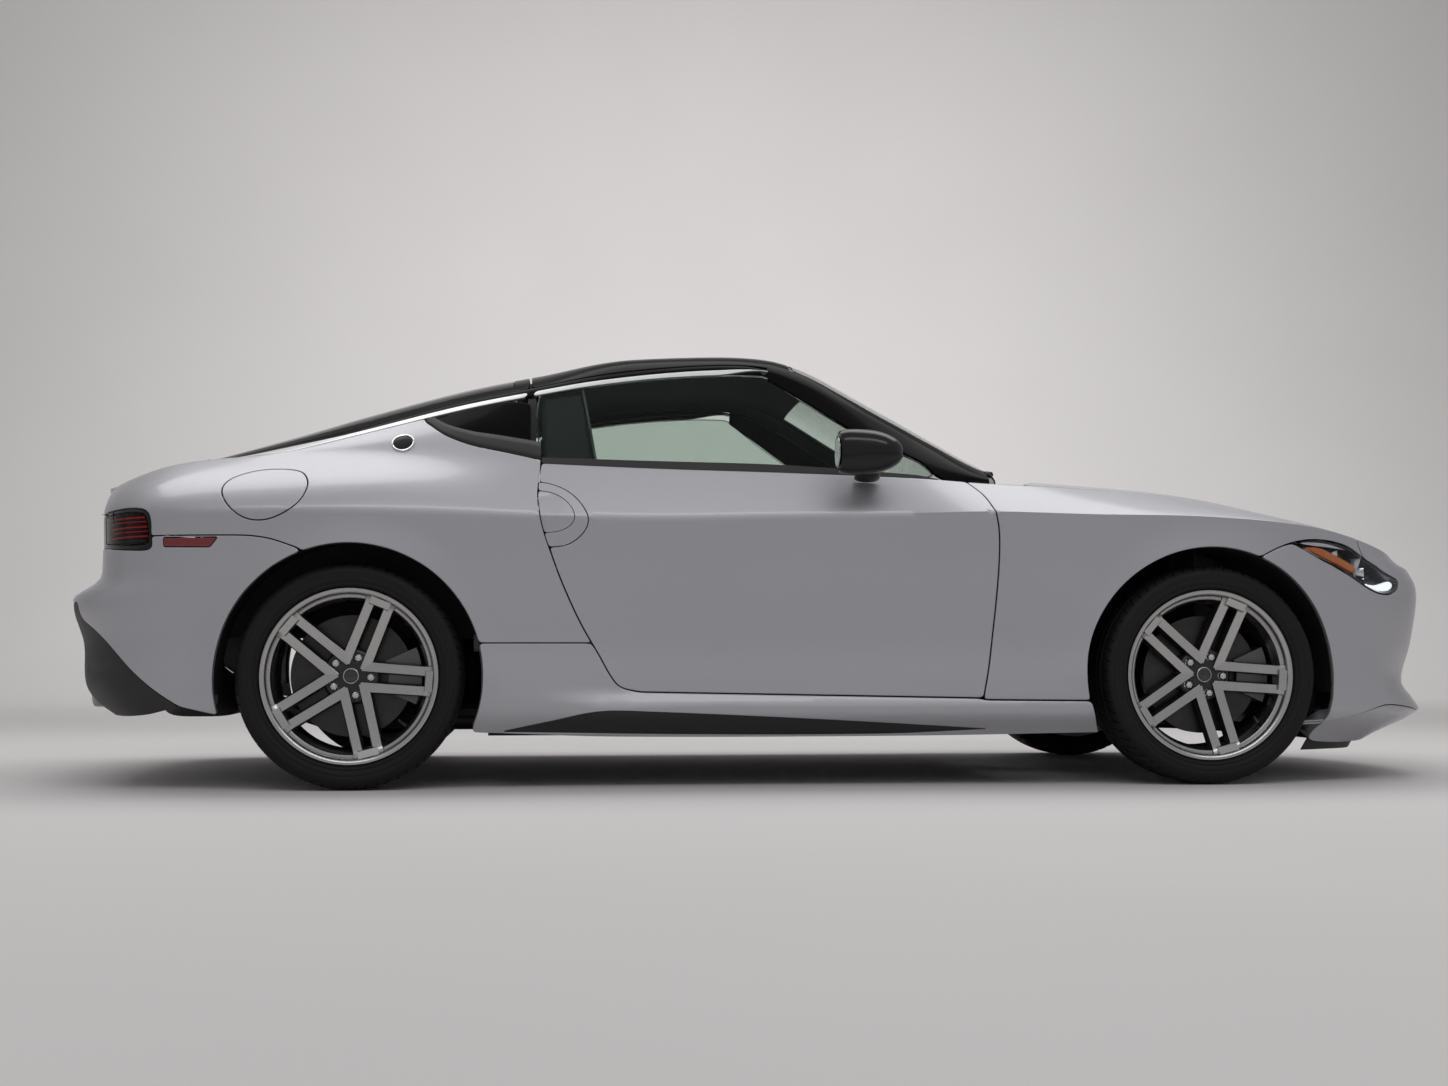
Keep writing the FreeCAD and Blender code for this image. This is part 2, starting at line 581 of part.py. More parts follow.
# ---------------------------------------------------------------- door mirrors
MIRROR_CENTRE = (228, 930, 984)
MIRROR_SIZE = (104.0, 62.0)          # half length and half height
mirror_rings = []
for y, share, shift in ((862, 0.62, 8), (880, 0.86, 4), (905, 1.0, 0), (945, 1.0, -4), (970, 0.86, -6),
                        (984, 0.6, -8)):
    mirror_rings.append([V(along(MIRROR_CENTRE[0]) + shift + share * MIRROR_SIZE[0] * math.cos(t) *
                           (1.0 if math.cos(t) > 0 else 0.92),
                           across(y), MIRROR_CENTRE[2] + share * MIRROR_SIZE[1] * math.sin(t))
                         for t in [2 * math.pi * k / 14 for k in range(14)]])
mirror_head = faceted(mirror_rings)
mirror_foot = box(along(205), along(285), across(800), across(900), 900, MIRROR_CENTRE[2] - 30)
mirror = mirror_head.fuse(mirror_foot).cut([LOWER, CANOPY_SOLID]).removeSplitter()
both("mirror", mirror, nodes)

# ---------------------------------------------------------------- wheels
RIM_WIDTH_OUT, RIM_WIDTH_IN = 112.0, -122.0
HUB_FACE = 35.0
HUB_FRONT = 58.0
HUB_RADIUS = 78.0
SPOKE_PAIRS = 5
SPOKE_TURN = 4.0                     # degrees down from straight ahead to the first pair
RIM_WALL = 9.0


def turned(profile):
    """Solid of revolution about Y from (radius, place along the axle) corners."""
    wire = Part.makePolygon([V(r, y, 0) for r, y in profile + [profile[0]]])
    return Part.Face(wire).revolve(V(0, 0, 0), V(0, 1, 0), 360)


def ring_of(points, count, turn):
    """Copies of a shape round Y."""
    copies = []
    for k in range(count):
        copy = points.copy()
        copy.rotate(V(0, 0, 0), V(0, 1, 0), turn - 360.0 * k / count)
        copies.append(copy)
    return copies


def spoke(inner_side, outer_side):
    """One arm of a pair, along +X, from the hub to the barrel."""
    sections = []
    for r, middle, half, low, high in ((48, inner_side, 12, 36, 60), (150, (inner_side + outer_side) / 2, 12, 50, 76),
                                       (RIM_SEAT_RADIUS - 6, outer_side, 13, 68, 100)):
        corners = [V(r, low, middle - half), V(r, high, middle - half), V(r, high, middle + half),
                   V(r, low, middle + half)]
        sections.append(Part.makePolygon(corners + [corners[0]]))
    return Part.makeLoft(sections, True, True)


def rim():
    """Wheel rim at the origin: barrel, hub and five pairs of spokes, outer side to +Y."""
    flange, seat, well, wall = RIM_FLANGE_RADIUS, RIM_SEAT_RADIUS, RIM_WELL_RADIUS, RIM_WALL
    out, inn = RIM_WIDTH_OUT, RIM_WIDTH_IN
    barrel = turned([(flange, out), (flange, out - 7), (seat, out - 10), (seat, out - 32), (well, out - 52),
                     (well, inn + 52), (seat, inn + 32), (seat, inn + 9), (flange, inn + 6), (flange, inn),
                     (seat - wall, inn), (seat - wall, inn + 26), (well - wall, inn + 50),
                     (well - wall, out - 56), (seat - wall, out - 36), (seat - wall, out - 6), (flange - 8, out)])
    hub = turned([(0, HUB_FACE + 12), (CENTRE_BORE_RADIUS, HUB_FACE + 12), (CENTRE_BORE_RADIUS, HUB_FACE),
                  (HUB_RADIUS, HUB_FACE), (HUB_RADIUS - 8, HUB_FRONT), (0, HUB_FRONT)])
    arms = ring_of(spoke(20, 31), SPOKE_PAIRS, SPOKE_TURN) + ring_of(spoke(-20, -31), SPOKE_PAIRS, SPOKE_TURN)
    body = barrel.fuse([hub] + arms)
    hole = Part.makeCylinder(BOLT_HOLE_RADIUS, 60, V(BOLT_CIRCLE / 2, HUB_FACE - 5, 0), V(0, 1, 0))
    return body.cut(ring_of(hole, BOLT_COUNT, SPOKE_TURN))


def tyre():
    """Tyre at the origin, seated just clear of the rim."""
    half, radius, seat = TYRE_WIDTH / 2, TYRE_RADIUS, RIM_SEAT_RADIUS + SEAT_GAP
    flange = RIM_FLANGE_RADIUS + SEAT_GAP
    out, inn = RIM_WIDTH_OUT, RIM_WIDTH_IN
    wall = radius - flange
    bead, low, high, shoulder = (flange + share * wall for share in (0.05, 0.24, 0.48, 0.84))
    return turned([(seat, out - 11), (flange, out - 8), (bead, out + 2), (low, half),
                   (high, half), (shoulder, half - 9), (radius, half - 26), (radius, -half + 26),
                   (shoulder, -half + 9), (high, -half), (low, -half), (bead, inn - 2),
                   (flange, inn + 8), (seat, inn + 11)])


def brake_disc():
    """Ventilated disc with its hat, seated on the back of the hub."""
    hat = 85.0
    face = HUB_FACE - 8
    disc = turned([(hat - 8, -12), (DISC_RADIUS, -12), (DISC_RADIUS, DISC_THICKNESS - 12),
                   (hat, DISC_THICKNESS - 12), (hat, HUB_FACE), (40, HUB_FACE), (40, face), (hat - 8, face)])
    stud = Part.makeCylinder(BOLT_HOLE_RADIUS - 1.0, HUB_FRONT - face - 4, V(BOLT_CIRCLE / 2, face, 0), V(0, 1, 0))
    return disc.fuse(ring_of(stud, BOLT_COUNT, SPOKE_TURN)).removeSplitter()


WHEEL_CENTRE = across(TRACK_HALF)
wheel_parts = {"rim": rim(), "tyre": tyre(), "brake_disc": brake_disc()}
for axle_name, axle_x in (("front", FRONT_AXLE), ("rear", REAR_AXLE)):
    for part_name, shape in wheel_parts.items():
        left = shape.translated(V(axle_x, WHEEL_CENTRE, HUB_HEIGHT))
        both(part_name + "_" + axle_name, left, nodes)

# ---------------------------------------------------------------- knuckles and suspension
KING_OFFSET = 60.0                   # wheel centre plane to the steering axis
UPRIGHT_LOW, UPRIGHT_HIGH = -135.0, 140.0
UPRIGHT_HALF = 22.0
SPINDLE_RADIUS = 44.0
ARM_HALF = 28.0
ARM_DEPTH = 28.0
CALIPER_REACH = (108.0, 204.0)       # inner and outer radius
CALIPER_HALF_ANGLE = 24.0


def knuckle():
    """Upright, spindle and brake caliper at the origin of a left wheel."""
    upright = box(-UPRIGHT_HALF, UPRIGHT_HALF, -KING_OFFSET - 22, -KING_OFFSET + 22, UPRIGHT_LOW, UPRIGHT_HIGH)
    spindle = Part.makeCylinder(SPINDLE_RADIUS, KING_OFFSET + HUB_FACE - 8 - SEAT_GAP,
                                V(0, -KING_OFFSET, 0), V(0, 1, 0))
    spindle = spindle.fuse(Part.makeCylinder(SPINDLE_RADIUS, 30, V(0, -KING_OFFSET, 0), V(0, 1, 0)))
    inner, outer = CALIPER_REACH
    block = Part.makeCylinder(outer, 76, V(0, -40, 0), V(0, 1, 0))
    block = block.cut(Part.makeCylinder(inner, 78, V(0, -41, 0), V(0, 1, 0)))
    wedge_x = outer + 20
    wedge_z = wedge_x * math.tan(math.radians(CALIPER_HALF_ANGLE))
    wedge = Part.Face(Part.makePolygon([V(0, -60, 0), V(wedge_x, -60, wedge_z), V(wedge_x, -60, -wedge_z),
                                        V(0, -60, 0)])).extrude(V(0, 120, 0))
    block = block.common(wedge)
    block = block.cut(Part.makeCylinder(DISC_RADIUS + 5, DISC_THICKNESS + 10, V(0, -17, 0), V(0, 1, 0)))
    carrier = box(0, inner + 14, -40, -24, -26, 26)
    return join(upright, spindle, block, carrier)


left_knuckle = knuckle()
both("front_knuckle", left_knuckle.translated(V(FRONT_AXLE, WHEEL_CENTRE, HUB_HEIGHT)), nodes)
rear_knuckle = left_knuckle.translated(V(REAR_AXLE, WHEEL_CENTRE, HUB_HEIGHT))
nodes["rear_knuckles"] = rear_knuckle.fuse(mirrored(rear_knuckle))

RAIL_INNER, RAIL_OUTER = across(400), across(455)
TOWER_TOP = 735.0
king_y = WHEEL_CENTRE - KING_OFFSET


def arms(axle_x, root_y):
    """Lower and upper arms and strut of a left wheel, ending on the upright's two ends."""
    low_top = HUB_HEIGHT + UPRIGHT_LOW - SEAT_GAP
    high_bottom = HUB_HEIGHT + UPRIGHT_HIGH + SEAT_GAP
    strut_y = (root_y + king_y) / 2
    pieces = [box(axle_x - ARM_HALF, axle_x + ARM_HALF, root_y, king_y, low_top - ARM_DEPTH, low_top),
              Part.makeCylinder(ARM_HALF, ARM_DEPTH, V(axle_x, king_y, low_top - ARM_DEPTH)),
              box(axle_x - ARM_HALF, axle_x + ARM_HALF, RAIL_OUTER, king_y, high_bottom, high_bottom + ARM_DEPTH),
              Part.makeCylinder(ARM_HALF, ARM_DEPTH, V(axle_x, king_y, high_bottom)),
              rod(V(axle_x, strut_y, low_top - 4), V(axle_x, strut_y, TOWER_TOP), 26)]
    return pieces


CROSSMEMBER = (95.0, 182.0, 250.0)   # half length, bottom and top
RAIL_Z = (380.0, 470.0)
cross_half, cross_low, cross_high = CROSSMEMBER
front_pieces = arms(FRONT_AXLE, across(330))
front_pieces += [box(FRONT_AXLE - cross_half, FRONT_AXLE + cross_half, 0, across(440), cross_low, cross_high),
                 box(FRONT_AXLE - cross_half, FRONT_AXLE + cross_half, RAIL_INNER, RAIL_OUTER - 12, cross_high,
                     RAIL_Z[0])]
nodes["front_suspension"] = whole(join(*front_pieces))

LOAD_FLOOR = (500.0, 520.0)
DIFF_HALF = 108.0
SHAFT_RADIUS = 18.0
rear_pieces = arms(REAR_AXLE, across(330))
rear_pieces += [box(REAR_AXLE - DIFF_HALF, REAR_AXLE + DIFF_HALF, 0, across(110), 220, 420),
                rod(V(REAR_AXLE, 0, HUB_HEIGHT),
                    V(REAR_AXLE, king_y - 22 - SEAT_GAP, HUB_HEIGHT), SHAFT_RADIUS),
                rod(V(REAR_AXLE, 0, 300), V(along(470), 0, 300), 32),
                box(REAR_AXLE - 150, REAR_AXLE - 95, 0, across(430), 230, 290),
                box(REAR_AXLE + 95, REAR_AXLE + 150, 0, across(430), 230, 290),
                box(REAR_AXLE - 150, REAR_AXLE + 150, across(330), across(400), 176, 290),
                box(REAR_AXLE - 150, REAR_AXLE + 150, across(400), across(430), 176, LOAD_FLOOR[0])]
nodes["rear_suspension"] = whole(join(*rear_pieces))

# ---------------------------------------------------------------- engine and exhaust
ENGINE_LOW, ENGINE_HIGH = cross_high, 720.0
engine = box(along(930), along(1520), -across(240), across(240), ENGINE_LOW, ENGINE_HIGH)
gearbox = box(along(470), along(940), -across(85), across(85), ENGINE_LOW, 370)
nodes["engine_block"] = join(engine, gearbox)

PIPE_RADIUS = 31.0
PIPE_HEIGHT = 163.0
TIP_END = along(-2062)
MUFFLER_TOP = 330.0
pipe_start, muffler_front, muffler_back = along(980), along(-1640), along(-1890)
exhaust = [rod(V(pipe_start, 0, PIPE_HEIGHT), V(muffler_front - 20, 0, PIPE_HEIGHT), PIPE_RADIUS),
           Part.makeSphere(PIPE_RADIUS, V(pipe_start, 0, PIPE_HEIGHT)),
           rod(V(pipe_start, 0, PIPE_HEIGHT), V(pipe_start, 0, ENGINE_LOW), PIPE_RADIUS),
           box(muffler_front, muffler_back, -across(500), across(500), 140, MUFFLER_TOP)]
for sign in (1, -1):
    tip_y, tip_z = sign * TAILPIPE_PLACE[0], TAILPIPE_PLACE[1]
    tip = rod(V(muffler_back + 10, tip_y, tip_z), V(TIP_END, tip_y, tip_z), TAILPIPE_RADIUS)
    bore = rod(V(TIP_END + 60, tip_y, tip_z), V(TIP_END - 2, tip_y, tip_z), TAILPIPE_RADIUS - 4)
    exhaust.append(tip.cut(bore))
    exhaust.append(rod(V(muffler_front - 100, sign * across(300), MUFFLER_TOP - 5),
                       V(muffler_front - 100, sign * across(300), LOAD_FLOOR[0]), 7))
nodes["exhaust_system"] = join(*exhaust)

# ---------------------------------------------------------------- cabin: seats, dashboard, steering wheel
FLOOR_TOP = 225.0
SEAT_SPAN = (across(360) - 230, across(360) + 230)
seat = side_prism(side((70, 300), (82, 400), (40, 425), (-340, 375), (-470, 820), (-500, 1000), (-560, 1012),
                       (-606, 990), (-600, 840), (-520, 330), (-500, FLOOR_TOP), (40, FLOOR_TOP)), *SEAT_SPAN)
neck = side_prism(side((-300, 860), (-300, 1100), (-700, 1100), (-700, 860)), SEAT_SPAN[0] - 10, SEAT_SPAN[0] + 105)
neck_far = side_prism(side((-300, 860), (-300, 1100), (-700, 1100), (-700, 860)), SEAT_SPAN[1] - 105,
                      SEAT_SPAN[1] + 10)
seat = seat.cut([neck, neck_far])
nodes["seats"] = seat.fuse(mirrored(seat))

FIREWALL = (along(690), along(715))
WHEEL_PLACE = V(along(135), across(360), 735)
COLUMN_TILT = math.radians(24)
column_run = V(math.cos(COLUMN_TILT), 0, -math.sin(COLUMN_TILT))
WHEEL_RIM = (180.0, 14.0)
hub_front = WHEEL_PLACE + column_run * 24
steering = Part.makeTorus(WHEEL_RIM[0], WHEEL_RIM[1], WHEEL_PLACE, column_run)
boss = Part.makeCylinder(52, 48, WHEEL_PLACE - column_run * 24, column_run)
wheel_up = V(math.sin(COLUMN_TILT), 0, math.cos(COLUMN_TILT))
wheel_spokes = [rod(WHEEL_PLACE, WHEEL_PLACE + direction * WHEEL_RIM[0], 11)
                for direction in (V(0, 1, 0), V(0, -1, 0), wheel_up * -1)]
nodes["steering_wheel"] = steering.fuse([boss] + wheel_spokes).removeSplitter()

dash = side_prism(side((440, 560), (430, 640), (425, 770), (470, 838), (560, 858), (690, 858), (690, 520),
                       (520, 500)),
                  -across(640), across(640))
column = rod(hub_front + column_run * SEAT_GAP, hub_front + column_run * 380, 26)
nodes["dashboard"] = dash.fuse(column).removeSplitter()

# ---------------------------------------------------------------- floor pan, rails, firewall and housings
TUNNEL = (across(120), 400.0)
TUB = WHEEL_CENTRE - TYRE_WIDTH / 2 - 13.0    # half width between the rear wheel housings
LOAD_HALF = TUB - 32.0
SILL_TOP = 252.0                     # below the door's front corner, which swings in over the sill
LINER_WALL = 6.0
LINER_LOW = 200.0                    # the front wheel housing's lower edge
under_hood = LOWER.translated(V(0, 0, -HOOD_DEPTH))
structure = [box(along(-1020), FIREWALL[1], 0, across(700), FLOOR_TOP - 20, FLOOR_TOP),
             box(along(-880), along(866), across(640), SILL_INNER, 150, SILL_TOP),
             box(FIREWALL[0], FIREWALL[1], 0, FENDER_INNER, FLOOR_TOP - 20, 980),
             box(along(640), FIREWALL[1], across(600), FENDER_INNER, 200, 850),
             box(along(-1020), along(700), 0, TUNNEL[0], FLOOR_TOP - 20, TUNNEL[1]),
             box(along(-1020), along(-1000), 0, LOAD_HALF, FLOOR_TOP - 20, LOAD_FLOOR[1]),
             box(along(-2000), along(-1000), 0, LOAD_HALF, *LOAD_FLOOR),
             box(along(-1720), along(-850), LOAD_HALF, QUARTER_INNER, 440, 780),
             box(along(-2070), along(-1985), across(380), across(640), 440, 520),
             box(along(-2032), along(-2010), 0, across(640), 400, 700),
             box(FIREWALL[1] - 10, along(2030), RAIL_INNER, RAIL_OUTER, *RAIL_Z),
             box(along(1950), along(2030), 0, across(650), *RAIL_Z),
             box(FIREWALL[1] - 10, along(1700), across(640), FENDER_INNER, 740, 775),
             box(FRONT_AXLE - 95, FRONT_AXLE + 95, across(440), FENDER_INNER, TOWER_TOP, TOWER_TOP + 30),
             box(FRONT_AXLE - 95, FRONT_AXLE + 95, across(440), RAIL_OUTER, RAIL_Z[0], TOWER_TOP + 10),
             box(REAR_AXLE - 95, REAR_AXLE + 95, across(440), across(600), TOWER_TOP, TOWER_TOP + 30)]
liner = Part.makeCylinder(HOUSING_RADIUS + LINER_WALL, FENDER_INNER - RAIL_OUTER, V(FRONT_AXLE, RAIL_OUTER, HUB_HEIGHT),
                          V(0, 1, 0))
liner = liner.cut([Part.makeCylinder(HOUSING_RADIUS, FAR, V(FRONT_AXLE, 0, HUB_HEIGHT), V(0, 1, 0)),
                   box(0, FAR, 0, FAR, -FAR, LINER_LOW)])
structure.append(liner)
tunnel_space = box(along(-1100), along(760), -1, TUNNEL[0] - 20, 0, TUNNEL[1] - 20)
pan = structure[0].fuse(structure[1:]).cut([tunnel_space, rear_arch.cut(box(-FAR, FAR, 0, TUB, 0, FAR))])
pan = whole(pan.common(under_hood.fuse(box(-FAR, along(560), 0, FAR, 0, FAR))))
tow_boss = Part.makeCylinder(TOW_BOSS[0], TOW_BOSS[1], TOW_PLACE, V(-1, 0, 0))
tow_hole = Part.makeCylinder(TOW_HOLE[0], TOW_HOLE[1], TOW_PLACE, V(-1, 0, 0))
nodes["floor_pan"] = pan.fuse(tow_boss).cut([tow_hole, tow_mouth])
nodes["dashboard"] = nodes["dashboard"].cut(nodes["floor_pan"])
nodes["floor_pan"] = nodes["floor_pan"].cut([nodes["front_suspension"], nodes["rear_suspension"]])
resting = ("front_bumper", "front_splitter", "grille", "rear_bumper", "rear_diffuser", "tail_light_band",
           "front_fenders", "headlights", "cowl", "body_side_left", "body_side_right")
nodes["floor_pan"] = nodes["floor_pan"].cut([nodes[name] for name in resting])

# ---------------------------------------------------------------- hinges
HINGE_PIN = 5.0
HINGE_FIT = 0.3
HINGE_ROOM = 8.0


def largest(shape):
    """The main solid of a shape, without slivers left by cutting."""
    return max(shape.Solids, key=lambda solid: solid.Volume)


# doors: upright axis behind the front edge, an arm from the pillar into a pocket in the door
DOOR_AXIS = (along(505), across(842))
DOOR_HINGE_HEIGHTS = ((520.0, 580.0), (690.0, 750.0))
ARM_WIDTH = 9.0
DOOR_REACH = ((262, 87), (300, 95), (360, 112), (420, 124), (480, 132), (555, 135.5), (630, 132),
              (690, 124), (750, 111), (810, 93), (850, 73))     # height and radius of the front edge's swing
axis_x, axis_y = DOOR_AXIS
left_door = nodes["door_left"]
hinge_arms = [box(axis_x - 14, along(652), across(655), across(680), 500, 780)]
for low, high in DOOR_HINGE_HEIGHTS:
    left_door = left_door.cut(box(axis_x - 13, along(660), DOOR_INNER - 10, axis_y + 13, low, high))
    left_door = left_door.fuse(Part.makeCylinder(HINGE_PIN, high - low + 20, V(axis_x, axis_y, low - 10)))
    arm = box(axis_x - ARM_WIDTH, axis_x + ARM_WIDTH, across(670), axis_y, low + HINGE_ROOM, high - HINGE_ROOM)
    arm = arm.fuse(Part.makeCylinder(ARM_WIDTH + 2, high - low - 2 * HINGE_ROOM,
                                     V(axis_x, axis_y, low + HINGE_ROOM)))
    bore = Part.makeCylinder(HINGE_PIN + HINGE_FIT, high - low, V(axis_x, axis_y, low))
    hinge_arms.append(arm.cut(bore))
both("door", left_door, nodes)
swing = [V(axis_x, axis_y, DOOR_REACH[0][0])]
swing += [V(axis_x + reach + PANEL_GAP, axis_y, height) for height, reach in DOOR_REACH]
swing += [V(axis_x, axis_y, DOOR_REACH[-1][0]), swing[0]]
swing_room = Part.Face(Part.makePolygon(swing)).revolve(V(axis_x, axis_y, 0), V(0, 0, 1), 360)
nodes["front_fenders"] = nodes["front_fenders"].cut([swing_room, mirrored(swing_room)])

# hood: goosenecks dip from its rear corners under the windshield's foot and back to pins on brackets
HOOD_AXIS = (along(700), 905.0)
HOOD_HINGE_Y = across(632)
HOOD_ARM = (12.0, 18.0)              # inner and outer side of the pair of arm plates
HOOD_ARM_PATH = ((-8, 0), (-8, -78), (98, -78), (98, 0), (86, 0), (86, -63), (8, -63), (8, 0))
hood_x, hood_z = HOOD_AXIS
hood_arms = []
for inner, outer in (HOOD_ARM, (-HOOD_ARM[1], -HOOD_ARM[0])):
    plate = side_prism([(hood_x + x, hood_z + z) for x, z in HOOD_ARM_PATH],
                       HOOD_HINGE_Y + inner, HOOD_HINGE_Y + outer)
    hood_arms.append(plate.fuse(Part.makeCylinder(8, outer - inner, V(hood_x, HOOD_HINGE_Y + inner, hood_z),
                                                  V(0, 1, 0))))
hood_arms.append(Part.makeCylinder(HINGE_PIN, 2 * HOOD_ARM[1], V(hood_x, HOOD_HINGE_Y - HOOD_ARM[1], hood_z),
                                   V(0, 1, 0)))
nodes["hood"] = nodes["hood"].fuse(hood_arms + [mirrored(arm) for arm in hood_arms]).removeSplitter()
hood_slot = box(hood_x - 14, along(805), HOOD_HINGE_Y - 24, HOOD_HINGE_Y + 24, 780, FAR)
arm_room = box(hood_x - 14, hood_x + 40, HOOD_HINGE_Y - 24, HOOD_HINGE_Y + 24, 815, FAR)
nodes["cowl"] = nodes["cowl"].cut([hood_slot, mirrored(hood_slot)])
for name in ("floor_pan", "dashboard"):
    nodes[name] = nodes[name].cut([arm_room, mirrored(arm_room)])
bracket = box(hood_x - 7, hood_x + 7, HOOD_HINGE_Y - 7, HOOD_HINGE_Y + 7, 780, hood_z)
bracket = bracket.fuse(Part.makeCylinder(8, 14, V(hood_x, HOOD_HINGE_Y - 7, hood_z), V(0, 1, 0)))
hood_bore = Part.makeCylinder(HINGE_PIN + HINGE_FIT, 50, V(hood_x, HOOD_HINGE_Y - 25, hood_z), V(0, 1, 0))
hinge_arms.append(bracket.cut(hood_bore))

# hatch: pins across pockets in its front edge, on tongues from the roof
HATCH_AXIS = (along(-819), above(1253))
HATCH_HINGE_Y = across(250)
hatch_x, hatch_z = HATCH_AXIS
hatch_pocket = box(hatch_x - 12, along(-740), HATCH_HINGE_Y - 14, HATCH_HINGE_Y + 14, above(1150), FAR)
hatch_pin = Part.makeCylinder(HINGE_PIN - 1, 40, V(hatch_x, HATCH_HINGE_Y - 20, hatch_z), V(0, 1, 0))
plate_glass = box(hatch_x - 20, FAR, HATCH_HINGE_Y - 24, HATCH_HINGE_Y + 24, 0, FAR)
plate_glass = plate_glass.fuse(mirrored(plate_glass))
hinge_pad = frame_shell.common(box(hatch_x - 20, along(-766), HATCH_HINGE_Y - 24, HATCH_HINGE_Y + 24, 0, FAR))
hinge_pad = hinge_pad.cut(hatch_pocket).fuse(hatch_pin)
nodes["hatch_glass"] = nodes["hatch_glass"].cut(plate_glass)
nodes["hatch_frame"] = nodes["hatch_frame"].cut([hatch_pocket, mirrored(hatch_pocket)])
nodes["hatch_frame"] = nodes["hatch_frame"].fuse([hinge_pad, mirrored(hinge_pad)]).removeSplitter()
tongue = box(hatch_x, along(-735), HATCH_HINGE_Y - 6, HATCH_HINGE_Y + 6, hatch_z - 14, hatch_z + 4)
tongue = tongue.fuse(Part.makeCylinder(7, 12, V(hatch_x, HATCH_HINGE_Y - 6, hatch_z), V(0, 1, 0)))
tongue = tongue.cut(Part.makeCylinder(HINGE_PIN - 1 + HINGE_FIT, 40, V(hatch_x, HATCH_HINGE_Y - 20, hatch_z),
                                      V(0, 1, 0)))
foot = box(along(-745), along(-715), HATCH_HINGE_Y - 6, HATCH_HINGE_Y + 6, hatch_z - 14, hatch_z + 12)
nodes["roof_panel"] = nodes["roof_panel"].fuse([tongue, foot, mirrored(tongue), mirrored(foot)]).removeSplitter()

# fuel door: pin behind its front edge, on a post from the floor of its pocket
FUEL_PIN = 3.0
lugs = [leaning(box(-5, 5, -4, 40, z - 2.5, z + 2.5)).common(LOWER) for z in (-16, 16)]
fuel_pin = leaning(Part.makeCylinder(FUEL_PIN, 38, V(0, 0, -19)))
nodes["fuel_door"] = mirrored(fuel_door.fuse(lugs + [fuel_pin]).removeSplitter())
post = box(-6, 6, -128, 0, -11, 11).fuse(Part.makeCylinder(6, 22, V(0, 0, -11)))
post = leaning(post.cut(Part.makeCylinder(FUEL_PIN + HINGE_FIT, 30, V(0, 0, -15))))
nodes["body_side_right"] = nodes["body_side_right"].fuse(mirrored(post)).removeSplitter()

hinge_set = hinge_arms + [mirrored(piece) for piece in hinge_arms]
nodes["floor_pan"] = largest(nodes["floor_pan"].fuse(hinge_set))

# ---------------------------------------------------------------- write one file per piece
os.makedirs("parts", exist_ok=True)
for name, shape in nodes.items():
    solids = [solid for solid in shape.Solids if solid.Volume > 500]
    Part.makeCompound(solids).exportStep("parts/" + name + ".step")
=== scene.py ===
import bpy
import bmesh
import numpy as np
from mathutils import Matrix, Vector
from mathutils.geometry import delaunay_2d_cdt


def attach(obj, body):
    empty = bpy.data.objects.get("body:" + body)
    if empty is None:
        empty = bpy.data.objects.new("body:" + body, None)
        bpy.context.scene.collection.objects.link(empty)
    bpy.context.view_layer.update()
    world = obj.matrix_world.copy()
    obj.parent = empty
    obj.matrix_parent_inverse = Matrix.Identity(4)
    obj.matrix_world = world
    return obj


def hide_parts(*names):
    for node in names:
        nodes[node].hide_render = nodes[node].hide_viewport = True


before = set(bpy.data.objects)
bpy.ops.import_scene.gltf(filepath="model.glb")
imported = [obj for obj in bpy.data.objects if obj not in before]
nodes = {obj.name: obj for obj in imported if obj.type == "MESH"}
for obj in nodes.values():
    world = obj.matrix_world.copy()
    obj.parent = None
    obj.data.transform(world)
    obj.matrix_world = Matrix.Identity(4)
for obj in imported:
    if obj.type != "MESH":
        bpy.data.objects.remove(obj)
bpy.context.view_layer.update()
BOTH = (("left", 1), ("right", -1))

# ---------------------------------------------------------------- underbody
# Pressed steel floor with rails and wheel housings, the suspension under it and the block of engine
# and gearbox. Sprayed satin black against stones; the cast parts are left bare and go dull.


